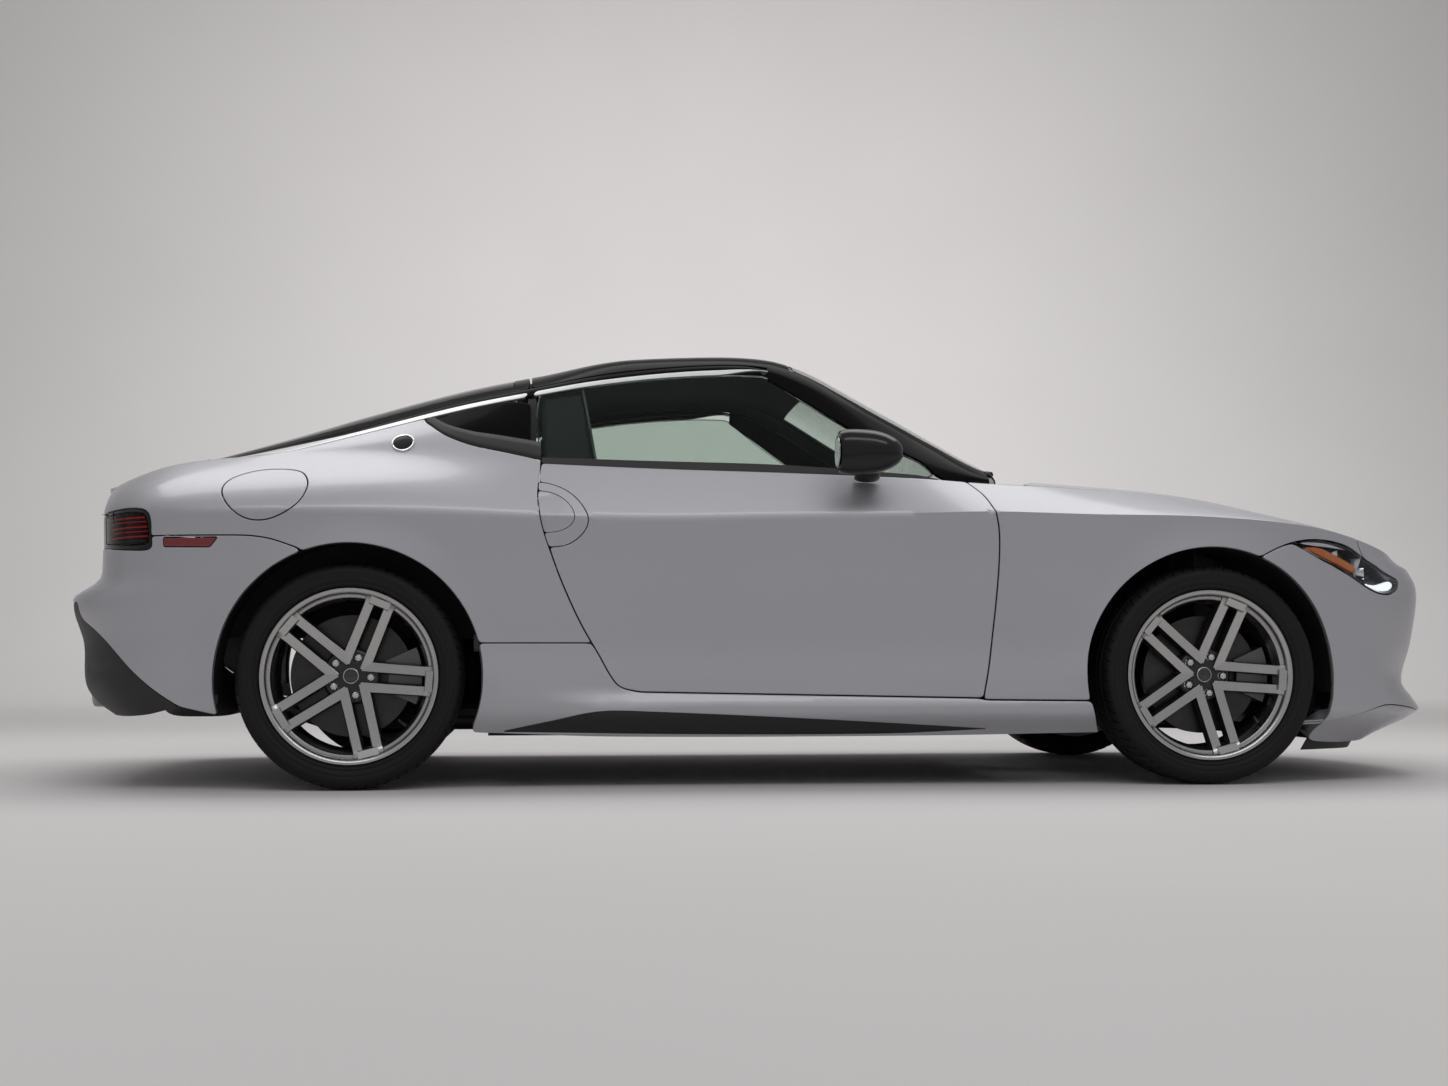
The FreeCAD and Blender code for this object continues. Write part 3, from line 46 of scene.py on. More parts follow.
def finish(name, colour, roughness, metallic=0.0, mottle=0.12, mottle_scale=7.0, grain=0.0,
           grain_scale=900.0, rough_drift=0.15, stretch=(1.0, 1.0, 1.0), **constants):
    """Material whose colour and roughness drift with a broad noise and whose bump is a fine noise."""
    mat = bpy.data.materials.new(name)
    mat.use_nodes = True
    tree = mat.node_tree
    link = tree.links.new
    shader = tree.nodes["Principled BSDF"]
    coords = tree.nodes.new("ShaderNodeTexCoord")
    place = tree.nodes.new("ShaderNodeMapping")
    place.inputs["Scale"].default_value = stretch
    link(coords.outputs["Object"], place.inputs["Vector"])
    broad = tree.nodes.new("ShaderNodeTexNoise")
    broad.inputs["Scale"].default_value = mottle_scale
    broad.inputs["Detail"].default_value = 4.0
    link(place.outputs["Vector"], broad.inputs["Vector"])
    blend = tree.nodes.new("ShaderNodeMix")
    blend.data_type = "RGBA"
    blend.inputs[6].default_value = [c * (1 - mottle) for c in colour] + [1.0]
    blend.inputs[7].default_value = [min(c * (1 + mottle), 1.0) for c in colour] + [1.0]
    link(broad.outputs["Fac"], blend.inputs[0])
    link(blend.outputs[2], shader.inputs["Base Color"])
    rough = tree.nodes.new("ShaderNodeMapRange")
    rough.inputs["To Min"].default_value = roughness * (1 - rough_drift)
    rough.inputs["To Max"].default_value = min(roughness * (1 + rough_drift), 1.0)
    link(broad.outputs["Fac"], rough.inputs["Value"])
    link(rough.outputs["Result"], shader.inputs["Roughness"])
    shader.inputs["Metallic"].default_value = metallic
    if grain:
        fine = tree.nodes.new("ShaderNodeTexNoise")
        fine.inputs["Scale"].default_value = grain_scale
        fine.inputs["Detail"].default_value = 2.0
        link(place.outputs["Vector"], fine.inputs["Vector"])
        bump = tree.nodes.new("ShaderNodeBump")
        bump.inputs["Strength"].default_value = grain
        bump.inputs["Distance"].default_value = 0.0006
        link(fine.outputs["Fac"], bump.inputs["Height"])
        link(bump.outputs["Normal"], shader.inputs["Normal"])
    for key, value in constants.items():
        shader.inputs[key.replace("_", " ")].default_value = value
    return mat


def wear(node, mat):
    """Gives a carried-over node one material."""
    mesh = nodes[node].data
    mesh.materials.clear()
    mesh.materials.append(mat)


underseal = finish("underseal", (0.012, 0.012, 0.013), 0.72, grain=0.5, grain_scale=420.0)
cast_iron = finish("cast_iron", (0.16, 0.16, 0.165), 0.5, 0.8, mottle=0.25, grain=0.5, grain_scale=500.0)
cast_alloy = finish("cast_alloy", (0.13, 0.13, 0.135), 0.42, 0.85, grain=0.4, grain_scale=700.0)
pipe_steel = finish("pipe_steel", (0.10, 0.098, 0.094), 0.5, 0.9, mottle=0.3, mottle_scale=11.0, grain=0.15,
                    stretch=(0.2, 1.0, 1.0))
for name in ("floor_pan", "front_suspension", "rear_suspension"):
    wear(name, underseal)
wear("engine_block", cast_iron)
for name in ("front_knuckle_left", "front_knuckle_right", "rear_knuckles"):
    wear(name, cast_alloy)

# ---------------------------------------------------------------- wheels
# Cast alloy rims, 19 inch, five pairs of narrow spokes. The faces are machined bright, the sides and
# the well stay dark grey. Held by five nuts in pockets between the spokes of each pair.
HUB_Z = 0.328
AXLES = {"front": 1.275, "rear": -1.275}
WHEEL_Y = 0.760


def weld(name, patches, mats, body, slot, replaced=(), shut=False, wall=0.0, edge=0.0, flat=None):
    """One mesh from patches (points, faces, material number), welded where they meet, riding on a body."""
    verts, faces, marks, first = [], [], [], 0
    for points, quads, mark in patches:
        verts.append(points.reshape(-1, 3))
        faces += (quads + first).tolist()
        marks.append(np.full(len(quads), mark))
        first += len(verts[-1])
    mesh = bpy.data.meshes.new(name)
    mesh.from_pydata(np.concatenate(verts).tolist(), [], faces)
    for mat in mats:
        mesh.materials.append(mat)
    mesh.polygons.foreach_set("material_index", np.concatenate(marks).astype(np.int32))
    work = bmesh.new()
    work.from_mesh(mesh)
    bmesh.ops.remove_doubles(work, verts=work.verts, dist=1e-5)
    if shut:
        bmesh.ops.recalc_face_normals(work, faces=work.faces)
    work.to_mesh(mesh)
    work.free()
    mesh.shade_smooth()
    if flat is not None:
        mesh.set_sharp_from_angle(angle=np.radians(flat))
    obj = bpy.data.objects.new(name, mesh)
    bpy.context.scene.collection.objects.link(obj)
    if wall:
        solid = obj.modifiers.new("wall", "SOLIDIFY")
        solid.thickness = wall
        solid.offset = -1.0
        solid.use_even_offset = True
    if edge:
        bevel = obj.modifiers.new("edge", "BEVEL")
        bevel.width = edge
        bevel.segments = 2
        bevel.limit_method = "ANGLE"
        bevel.angle_limit = np.radians(35)
        bevel.harden_normals = True
    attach(obj, body)
    if replaced:
        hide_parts(*replaced)
    return obj


def quilt(points, around=False, along=False):
    """Faces of a grid of points: one between each four neighbours, joined round rows or columns if asked."""
    rows, columns = points.shape[:2]
    index = np.arange(rows * columns).reshape(rows, columns)
    if around:
        index = np.vstack([index, index[:1]])
    if along:
        index = np.hstack([index, index[:, :1]])
    return np.stack([index[:-1, :-1], index[1:, :-1], index[1:, 1:], index[:-1, 1:]], -1).reshape(-1, 4)


def turns(steps):
    """Angles of equal steps once round."""
    return np.linspace(0, 2 * np.pi, steps, endpoint=False)


def spread(*parts):
    """Points from coordinates stretched to one common shape."""
    return np.stack(np.broadcast_arrays(*parts), -1)


def lathe(profile, steps, loop=True):
    """Ring from (radius, place on the axle) corners: each corner goes round the Y axis in equal steps."""
    profile = np.array(profile)
    turn = turns(steps)[:, None]
    points = spread(profile[:, 0] * np.cos(turn), profile[:, 1], profile[:, 0] * np.sin(turn))
    return points, quilt(points, around=True, along=loop), 0


def closed(rings):
    """Stack of closed rings of points, as a patch."""
    return rings, quilt(rings, along=True), 0


def carried(sections):
    """Solid bar from a stack of rings of points, its two ends closed with a fan to their middles."""
    first, last = sections[:1].mean(1, keepdims=True), sections[-1:].mean(1, keepdims=True)
    width = sections.shape[1]
    return closed(np.concatenate([np.repeat(first, width, 1), sections, np.repeat(last, width, 1)]))


def turned_by(points, degrees):
    """Points turned about the Y axis, from forward towards up."""
    a = np.radians(degrees)
    x, y, z = points[..., 0], points[..., 1], points[..., 2]
    return np.stack([x * np.cos(a) - z * np.sin(a), y, x * np.sin(a) + z * np.cos(a)], -1)


def marked(patch, number):
    """The same patch with another material number."""
    return patch[0], patch[1], number


def wheel_place(patches, axle, side):
    """Patches of a left wheel at the origin moved to a wheel's place, mirrored for the right side."""
    moved = []
    for points, quads, mark in patches:
        spot = points + np.array([AXLES[axle], WHEEL_Y, HUB_Z])
        spot[..., 1] *= side
        moved.append((spot, quads if side > 0 else quads[:, ::-1], mark))
    return moved


def spoke_arm(offset_hub, offset_rim):
    """Spoke as a trapezium carried outwards: its side offset, face height and width drift with radius."""
    share = np.linspace(0, 1, 26)[:, None]
    r = 0.030 + 0.212 * share
    middle = offset_hub + (offset_rim - offset_hub) * share
    half = 0.0136 + 0.007 * np.clip((share - 0.86) / 0.14, 0, 1) ** 1.5
    face = 0.059 + 0.034 * share ** 1.3 + 0.012 * np.clip((share - 0.86) / 0.14, 0, 1) ** 2
    back = face - 0.026 - 0.012 * share
    across = np.array([-1.32, -1.06, -1.0, -0.93, 0.93, 1.0, 1.06, 1.32])
    height = np.array([0.0, 0.9, 0.975, 1.0, 1.0, 0.975, 0.9, 0.0])
    lateral = middle + half * across
    level = back + (face - back) * height
    return spread(r, level, lateral)


def arm_patches(section):
    """Spoke split into its bright machined face and its dark sides."""
    points, quads, _ = carried(section)
    column = quads[:, 0] % section.shape[1]
    bright = (column >= 2) & (column <= 4)
    return [(points, quads[bright], 0), (points, quads[~bright], 1)]


RIM_LIP = [(0.2540, 0.1120), (0.2535, 0.1050), (0.2420, 0.1020), (0.2420, 0.0800), (0.2240, 0.0600),
           (0.2240, -0.0700), (0.2420, -0.0900), (0.2420, -0.1130), (0.2540, -0.1160), (0.2540, -0.1220),
           (0.2330, -0.1220), (0.2330, -0.0960), (0.2150, -0.0720), (0.2150, 0.0500), (0.2225, 0.0660),
           (0.2270, 0.0780), (0.2270, 0.0860), (0.2300, 0.0885), (0.2340, 0.0890), (0.2365, 0.0915),
           (0.2375, 0.0985), (0.2400, 0.1060), (0.2430, 0.1095), (0.2480, 0.1118), (0.2520, 0.1126)]
rim_points, rim_quads, _ = lathe(RIM_LIP, 160)
rim_column = rim_quads[:, 0] % len(RIM_LIP)
rim_bright = rim_column >= 13
rim_patches = [(rim_points, rim_quads[rim_bright], 0), (rim_points, rim_quads[~rim_bright], 1)]
PAIRS = [-4.0 + 72.0 * number for number in range(5)]      # where the pairs of spokes stand, in degrees
NUT_CIRCLE = 0.05715
for pair_turn in PAIRS:
    for sign in (1, -1):
        for points, quads, mark in arm_patches(spoke_arm(sign * 0.0300, sign * 0.0285)):
            rim_patches.append((turned_by(points, pair_turn), quads, mark))
    # bridge where the two spokes of a pair meet the rim
    profile = np.array([(0.212, 0.056), (0.214, 0.094), (0.217, 0.099), (0.238, 0.106), (0.240, 0.058)])
    points, quads, _ = carried(spread(profile[:, 0], profile[:, 1], np.linspace(-0.030, 0.030, 7)[:, None]))
    rim_patches.append((turned_by(points, pair_turn), quads, 0))

# hub: a dished plate with a pocket round each nut
hub_r = np.linspace(0.024, 0.084, 46)[:, None]
hub_turn = turns(250)
hub_y = 0.052 - 0.010 * np.clip((hub_r - 0.07) / 0.014, 0, 1) ** 2 + 0 * hub_turn
for a in np.radians(PAIRS):
    away = np.hypot(hub_r * np.cos(hub_turn) - NUT_CIRCLE * np.cos(a),
                    hub_r * np.sin(hub_turn) - NUT_CIRCLE * np.sin(a))
    hub_y = np.minimum(hub_y, 0.040 + 0.020 * np.clip((away - 0.0125) / 0.003, 0, 1))
rim_patches.append(marked(closed(spread(hub_r * np.cos(hub_turn), hub_y, hub_r * np.sin(hub_turn))), 1))
rim_patches.append(marked(lathe([(0.084, 0.042), (0.082, 0.036), (0.040, 0.036)], 100, loop=False), 1))
rim_patches.append(marked(lathe([(0.024, 0.052), (0.024, 0.045), (0.001, 0.045)], 60, loop=False), 1))
CAP = [(0.0005, 0.0530), (0.016, 0.0528), (0.0175, 0.0522), (0.018, 0.0512), (0.0195, 0.0512),
       (0.0200, 0.0545), (0.0215, 0.0550), (0.0230, 0.0540), (0.0235, 0.0500), (0.0230, 0.0460),
       (0.0005, 0.0460)]
cap_points, cap_quads, _ = lathe(CAP, 72)
cap_ring = np.isin(cap_quads[:, 0] % len(CAP), (4, 5, 6, 7))
rim_patches += [(cap_points, cap_quads[cap_ring], 0), (cap_points, cap_quads[~cap_ring], 2)]
# nuts: hexagon with a round flange and a domed end
nut_turn = turns(24)
hexagon = 0.0092 / np.cos((nut_turn + np.pi / 6) % (np.pi / 3) - np.pi / 6)
NUT = ((0.0392, 0.0118, 0), (0.0425, 0.0118, 0), (0.0432, 1.0, 1), (0.0570, 1.0, 1), (0.0585, 0.93, 1),
       (0.0592, 0.0070, 0), (0.0575, 0.0062, 0), (0.0560, 0.0005, 0))
nut_rings = []
for level, width, six in NUT:
    radius = hexagon * width if six else np.full(24, width)
    nut_rings.append(spread(NUT_CIRCLE + radius * np.cos(nut_turn), level, radius * np.sin(nut_turn)))
nut_points, nut_quads, _ = carried(np.array(nut_rings))
for pair_turn in PAIRS:
    rim_patches.append((turned_by(nut_points, pair_turn), nut_quads, 3))
# tyre valve, slanting out of the well
VALVE = ((0, 0.0045), (1, 0.0045), (1.05, 0.0038), (2.4, 0.0038))      # steps along it, radius
valve_turn = turns(12)
valve_points, valve_quads, _ = carried(np.array([
    spread(0.2160 - 0.012 * k, 0.066 + 0.010 * k + w * np.cos(valve_turn), w * np.sin(valve_turn))
    for k, w in VALVE]))
rim_patches.append((turned_by(valve_points, -42.0), valve_quads, 2))

rim_bright_metal = finish("rim_machined", (0.44, 0.435, 0.43), 0.27, 1.0, mottle=0.12, grain=0.18,
                          grain_scale=160.0, Coat_Weight=0.35, Coat_Roughness=0.12)
rim_dark = finish("rim_grey", (0.030, 0.030, 0.032), 0.38, 0.7, mottle=0.2, Coat_Weight=0.4)
cap_black = finish("cap_black", (0.012, 0.012, 0.013), 0.25, Coat_Weight=0.7)
nut_chrome = finish("nut_chrome", (0.62, 0.62, 0.63), 0.16, 1.0, mottle=0.08)
# brake discs: dull cast iron, its colour darkened further as painted shade for the dark inside of the wheel
disc_iron = finish("disc_iron", (0.055, 0.053, 0.052), 0.40, 0.9, mottle=0.3, mottle_scale=30.0)
for side, sign in BOTH:
    for axle in AXLES:
        tail = axle + "_" + side
        weld("wheel_rim_" + tail, wheel_place(rim_patches, axle, sign),
             (rim_bright_metal, rim_dark, cap_black, nut_chrome), "wheel_" + tail, "wheel_alloy",
             ("rim_" + tail,), shut=True, flat=32)
        wear("brake_disc_" + tail, disc_iron)

# ---------------------------------------------------------------- tyres
# Black rubber, 19 inch, low side walls with a rim guard rib and shoulder blocks. Four grooves run round
# the tread and slanting sipes cut its ribs.
HALF_TYRE = [(0.2445, 0.1000), (0.2550, 0.1040), (0.2590, 0.1135), (0.2625, 0.1190), (0.2665, 0.1205),
             (0.2685, 0.1192), (0.2705, 0.1192), (0.2740, 0.1222), (0.2800, 0.1240), (0.2860, 0.1248),
             (0.2870, 0.1242), (0.2880, 0.1249), (0.2950, 0.1250), (0.2990, 0.1249), (0.3000, 0.1240),
             (0.3010, 0.1246), (0.3060, 0.1232), (0.3110, 0.1205), (0.3150, 0.1172), (0.3185, 0.1130)]
TREAD = [(0.3215, 0.1070), (0.3235, 0.1020), (0.3250, 0.0950), (0.3258, 0.0860), (0.3262, 0.0780),
         (0.3264, 0.0735), (0.3215, 0.0725), (0.3215, 0.0645), (0.3268, 0.0635), (0.3273, 0.0520),
         (0.3276, 0.0400), (0.3277, 0.0335), (0.3215, 0.0325), (0.3215, 0.0235), (0.3278, 0.0225),
         (0.3279, 0.0110)]
PITCHES = 64
outer_half = np.array(HALF_TYRE + TREAD)
inner_half = outer_half[::-1] * [1, -1]
level_r, level_y = np.concatenate([outer_half, [[0.3279, 0.0]], inner_half]).T
pitch = np.array([0.0, 0.30, 0.36, 0.42, 0.48, 0.80, 0.86, 0.92])
pitch_turn = ((np.arange(PITCHES)[:, None] + pitch) / PITCHES).ravel() * 2 * np.pi
step_of = (np.arange(len(pitch_turn)) % len(pitch))[:, None]
shoulder = (np.abs(level_y) > 0.076) & (level_r > 0.3155)
middle_rib = (np.abs(level_y) < 0.060) & (level_r > 0.3262)
cut = 0.0045 * (np.isin(step_of, (2, 3)) & shoulder) + 0.0030 * ((step_of == 6) & middle_rib)
radius = level_r - cut
lean = pitch_turn[:, None] + np.where(level_r > 0.312, 1.1 * level_y, 0.0)
tyre_points = spread(radius * np.cos(lean), level_y, radius * np.sin(lean))
tyre_patch = (tyre_points, quilt(tyre_points, around=True, along=True), 0)
rubber = finish("tyre_rubber", (0.0065, 0.0065, 0.0067), 0.66, mottle=0.25, mottle_scale=14.0, grain=0.35,
                grain_scale=800.0, IOR=1.35)
for side, sign in BOTH:
    for axle in AXLES:
        tail = axle + "_" + side
        weld("tyre_" + tail + "_rubber", wheel_place([tyre_patch], axle, sign), (rubber,), "wheel_" + tail,
             "tyre_rubber", ("tyre_" + tail,), shut=True, flat=40)

# ---------------------------------------------------------------- front fenders
# Pressed steel wings between door, hood and bumper, folded inwards along every edge and painted. The
# body's shape is one smooth surface that all outer panels share, so their highlights run on.
SIDES = np.array([
    (-2190, 862, 800, 640, 880), (-2040, 868, 800, 650, 893), (-1794, 886, 802, 668, 953),
    (-1500, 910, 806, 700, 972), (-1275, 922.5, 806, 730, 976), (-1000, 908, 802, 765, 970),
    (-728, 882, 796, 785, 957), (-400, 869, 790, 787, 945), (0, 866, 800, 788, 935),
    (400, 869, 810, 775, 922), (620, 876, 815, 735, 911), (900, 892, 808, 716, 899),
    (1275, 905, 801, 712, 868), (1600, 896, 772, 690, 800),
    (1850, 884, 716, 640, 712), (2190, 860, 640, 600, 640)]) * 0.001
RINGS = np.array([
    (112, 2040, -1940, 48), (150, 2105, -1980, 40), (205, 2186, -2050, 12), (245, 2165, -2108, 4),
    (300, 2122, -2146, 9), (420, 2162, -2156, 22), (556, 2188, -2188, 17), (612, 2181, -2108, 13),
    (660, 2148, -2096, 8), (800, 2085, -2096, 0), (957, 2045, -2098, 0)]) * 0.001
CREASE, BELT = 0.800, 0.957
FRONT_START, FRONT_RUN = 1.300, 0.86
REAR_START, REAR_RUN = -1.400, 0.74
NOSE_MIDDLE = FRONT_START + FRONT_RUN * np.pi / 2
TAIL_MIDDLE = REAR_START - REAR_RUN * np.pi / 2


def smooth(rows, x, column):
    """Curve through a table: cubic arcs whose slope at a row is that of the line between its neighbours."""
    rows = rows[np.argsort(rows[:, 0])]
    at, value = rows[:, 0], rows[:, column]
    slope = np.diff(value) / np.diff(at)
    slope = np.concatenate([slope[:1], (value[2:] - value[:-2]) / (at[2:] - at[:-2]), slope[-1:]])
    x = np.clip(x, at[0], at[-1])
    k = np.clip(np.searchsorted(at, x, side="right") - 1, 0, len(at) - 2)
    h = at[k + 1] - at[k]
    t = (x - at[k]) / h
    return ((1 + 2 * t) * (1 - t) ** 2 * value[k] + t * (1 - t) ** 2 * h * slope[k]
            + t * t * (3 - 2 * t) * value[k + 1] - t * t * (1 - t) * h * slope[k + 1])


def ease(x, start, end):
    """Rises smoothly from 0 at start to 1 at end."""
    t = np.clip((x - start) / (end - start), 0, 1)
    return t * t * (3 - 2 * t)


def levels(x):
    """Heights of the shoulder crease and of the top edge at a place along the car."""
    crease = np.maximum(smooth(SIDES, x, 2), 0.672)
    return crease, np.maximum(smooth(SIDES, x, 4), crease + 0.016)


def to_skin(points):
    """Side-view (x, z) places as (run, level) places on the body's side: run is x between the axles and
    goes on round the corners, level is the height below the crease and runs evenly to the top edge."""
    points = np.asarray(points, float)
    x, z = points[..., 0], points[..., 1]
    crease, top = levels(x)
    level = np.where(z < 0.66, z, np.where(z < crease, 0.66 + 0.14 * (z - 0.66) / (crease - 0.66),
                                           CREASE + 0.157 * (z - crease) / (top - crease)))
    nose, tail = smooth(RINGS, level, 1), smooth(RINGS, level, 2)
    front = np.clip((x - FRONT_START) / (nose - FRONT_START), 0, 1)
    rear = np.clip((x - REAR_START) / (tail - REAR_START), 0, 1)
    run = np.where(x > FRONT_START, FRONT_START + FRONT_RUN * np.arcsin(front),
                   np.where(x < REAR_START, REAR_START - REAR_RUN * np.arcsin(rear), x))
    return np.stack([run, level], -1)


def flank(flat):
    """Body side at (run, level): half width from the tables, rounded at nose and tail like a superellipse,
    swollen a little round each wheel; past the middle of nose or tail it comes back on the other side."""
    run, level = flat[..., 0], flat[..., 1]
    other = np.where((run > NOSE_MIDDLE) | (run < TAIL_MIDDLE), -1.0, 1.0)
    run = np.where(run > NOSE_MIDDLE, 2 * NOSE_MIDDLE - run, run)
    run = np.where(run < TAIL_MIDDLE, 2 * TAIL_MIDDLE - run, run)
    nose, tail = smooth(RINGS, level, 1), smooth(RINGS, level, 2)
    front = np.sin(np.clip((run - FRONT_START) / FRONT_RUN, 0, np.pi / 2))
    rear = np.sin(np.clip((REAR_START - run) / REAR_RUN, 0, np.pi / 2))
    x = np.where(front > 0, FRONT_START + (nose - FRONT_START) * front,
                 np.where(rear > 0, REAR_START + (tail - REAR_START) * rear, run))
    crease, top = levels(x)
    w = np.clip((level - CREASE) / 0.157, 0, 2)
    under = 0.66 + (crease - 0.66) * (level - 0.66) / 0.14
    z = np.where(level < 0.66, level, np.where(level < CREASE, under, crease + (top - crease) * w))
    wide, narrow = smooth(SIDES, x, 1), smooth(SIDES, x, 3)
    inset = np.where(level < CREASE, smooth(RINGS[:10], level, 3), 0.0)
    lean = 0.30 + 0.58 * ease(x, -1.25, -0.70) * (1 - ease(x, 1.05, 1.60))
    half = wide - (wide - narrow) * (lean * w + (1 - lean) * w * w) - inset
    for hub in AXLES.values():
        away = np.hypot(x - hub, z - 0.326)
        half = half + 0.012 * np.clip((0.464 - away) / 0.080, 0, 1) ** 1.3 * ease(z, 0.20, 0.34)
    y = half * np.sqrt(np.clip(1 - front ** 3.7, 0, 1)) * np.sqrt(np.clip(1 - rear ** 6, 0, 1)) * other
    return np.stack([x, y, z], -1)


def traced(runs, step=0.007, soften=3):
    """Closed outline from runs of points: a run of two is straight, a longer one curves through them all.
    Laid out in even steps, and its corners rounded off by averaging each place with its neighbours."""
    loop = []
    for run in runs:
        run = np.asarray(run, float)
        far = np.concatenate([[0], np.cumsum(np.hypot(*np.diff(run, axis=0).T))])
        at = np.linspace(0, far[-1], max(int(np.ceil(far[-1] / step)), 1) + 1)[:-1]
        table = np.column_stack([far, run])
        if len(run) > 2:
            loop.append(np.stack([smooth(table, at, 1), smooth(table, at, 2)], -1))
        else:
            loop.append(run[0] + (run[1] - run[0]) * (at / far[-1])[:, None])
    loop = np.concatenate(loop)
    for _ in range(soften):
        loop = (np.roll(loop, 1, 0) + 2 * loop + np.roll(loop, -1, 0)) / 4
    turning = (loop[:, 0] * np.roll(loop[:, 1], -1) - loop[:, 1] * np.roll(loop[:, 0], -1)).sum()
    return loop if turning > 0 else loop[::-1]


def slopes(surface, flat):
    """Places on a surface with its two slopes, measured over small steps."""
    e = 1e-4
    du = (surface(flat + [e, 0]) - surface(flat - [e, 0])) / (2 * e)
    dv = (surface(flat + [0, e]) - surface(flat - [0, e])) / (2 * e)
    return surface(flat), du, dv


def shrunk(surface, loop, distance):
    """Loop moved to its left along the surface, square to itself in space, by a distance."""
    _, du, dv = slopes(surface, loop)
    along = np.roll(loop, -1, 0) - np.roll(loop, 1, 0)
    e, f, g = (du * du).sum(1), (du * dv).sum(1), (dv * dv).sum(1)
    left = np.stack([-g * along[:, 1] - f * along[:, 0], f * along[:, 1] + e * along[:, 0]], -1)
    size = np.sqrt(e * left[:, 0] ** 2 + 2 * f * left[:, 0] * left[:, 1] + g * left[:, 1] ** 2)
    return loop + distance * left / size[:, None]


def within(points, loop):
    """Which points lie inside a closed loop, by counting the edges crossed on the way out."""
    x, y = points[:, :1], points[:, 1:]
    ax, ay = loop.T
    bx, by = np.roll(loop, -1, 0).T
    crosses = ((ay > y) != (by > y)) & (x < ax + (bx - ax) * (y - ay) / np.where(by == ay, 1e-12, by - ay))
    return crosses.sum(1) % 2 == 1


def skin(surface, outer, holes=(), *, gap, depth, spacing=0.016, radius=0.0016, mark=0):
    """Pressed panel: the surface inside an outline and outside its holes, each edge drawn back by half a
    gap, rounded over and folded inwards. Returns its patches: the face in triangles, the folds in rings."""
    loops = [outer] + [hole[::-1] for hole in holes]
    lips = [shrunk(surface, loop, gap + radius) for loop in loops]
    second = [shrunk(surface, loop, 0.0035) for loop in lips]
    low, high = outer.min(0), outer.max(0)
    u = np.arange(np.floor(low[0] / spacing), high[0] / spacing + 1) * spacing
    v = CREASE + np.arange(np.floor((low[1] - CREASE) / spacing), (high[1] - CREASE) / spacing + 1) * spacing
    grid = np.stack(np.meshgrid(u, v), -1).reshape(-1, 2)
    keep = within(grid, second[0])
    for loop in second[1:]:
        keep &= ~within(grid, loop)
    grid = grid[keep]
    for loop in second:
        near = np.hypot(grid[:, :1] - loop[:, 0], grid[:, 1:] - loop[:, 1]).min(1)
        room = np.where(np.abs(grid[:, 1] - CREASE) < 1e-9, 0.12, 0.55) * spacing
        grid = grid[near > room]
    flat = np.concatenate(lips + second + [grid])
    edges, first = [], 0
    for loop in lips + second:
        index = first + np.arange(len(loop))
        edges.append(np.stack([index, np.roll(index, -1)], -1))
        first += len(loop)
    cut = delaunay_2d_cdt([Vector(p) for p in flat.tolist()], np.concatenate(edges).tolist(), [], 0, 1e-7)
    flat = np.array([p[:] for p in cut[0]])
    faces = np.array(cut[2])
    middle = flat[faces].mean(1)
    keep = within(middle, lips[0])
    for loop in lips[1:]:
        keep &= ~within(middle, loop)
    points, du, dv = slopes(surface, flat)
    out = np.cross(du, dv)
    centre = np.array([points[:, 0].mean(), 0.0, 0.5])
    flip = -1.0 if ((points - centre) * out).sum() < 0 else 1.0
    faces = faces[keep]
    patches = [(points, faces if flip > 0 else faces[:, ::-1], mark)]
    for loop, lip in zip(loops, lips):
        here, du, dv = slopes(surface, lip)
        up = flip * np.cross(du, dv)
        up /= np.linalg.norm(up, axis=1, keepdims=True)
        run = np.roll(here, -1, 0) - np.roll(here, 1, 0)
        away = np.cross(run, up) * flip
        away /= np.linalg.norm(away, axis=1, keepdims=True)
        rings = [here]
        for angle in (0.5, 1.05, np.pi / 2):
            rings.append(here + radius * (np.sin(angle) * away - (1 - np.cos(angle)) * up))
        rings.append(rings[-1] - (depth - radius) * up)
        rings = np.array(rings)
        quads = quilt(rings, along=True)
        patches.append((rings, quads if flip > 0 else quads[:, ::-1], mark))
    return patches


def other_side(patches, side):
    """Patches of a left piece, mirrored for the right side."""
    if side > 0:
        return patches
    return [(points * [1, -1, 1], faces[:, ::-1], mark) for points, faces, mark in patches]


def pair(name, patches, mats, body, slot, replaced=(), **how):
    """A left piece and its mirror image on the right, with the side put in where a name has %s. A node
    that serves both sides, without %s, is replaced by the left piece."""
    for side, sign in BOTH:
        stood_for = [node.replace("%s", side) for node in replaced if sign > 0 or "%s" in node]
        weld(name % side, other_side(patches, sign), mats, body.replace("%s", side), slot, stood_for, **how)


# metallic paint: flakes tilt the base a little under a clear coat
silver = finish("paint_silver", (0.42, 0.42, 0.445), 0.46, 0.58, mottle=0.03, mottle_scale=2.0, grain=0.35,
                grain_scale=2600.0, rough_drift=0.06, Coat_Weight=0.6, Coat_Roughness=0.12)
ARCH = 0.382


def arch_run(axle, start, end):
    """Arc of a wheel opening in side view from one angle to another, in degrees from forward."""
    turn = np.radians(np.linspace(start, end, 25))
    return np.stack([AXLES[axle] + ARCH * np.cos(turn), HUB_Z + ARCH * np.sin(turn)], -1)


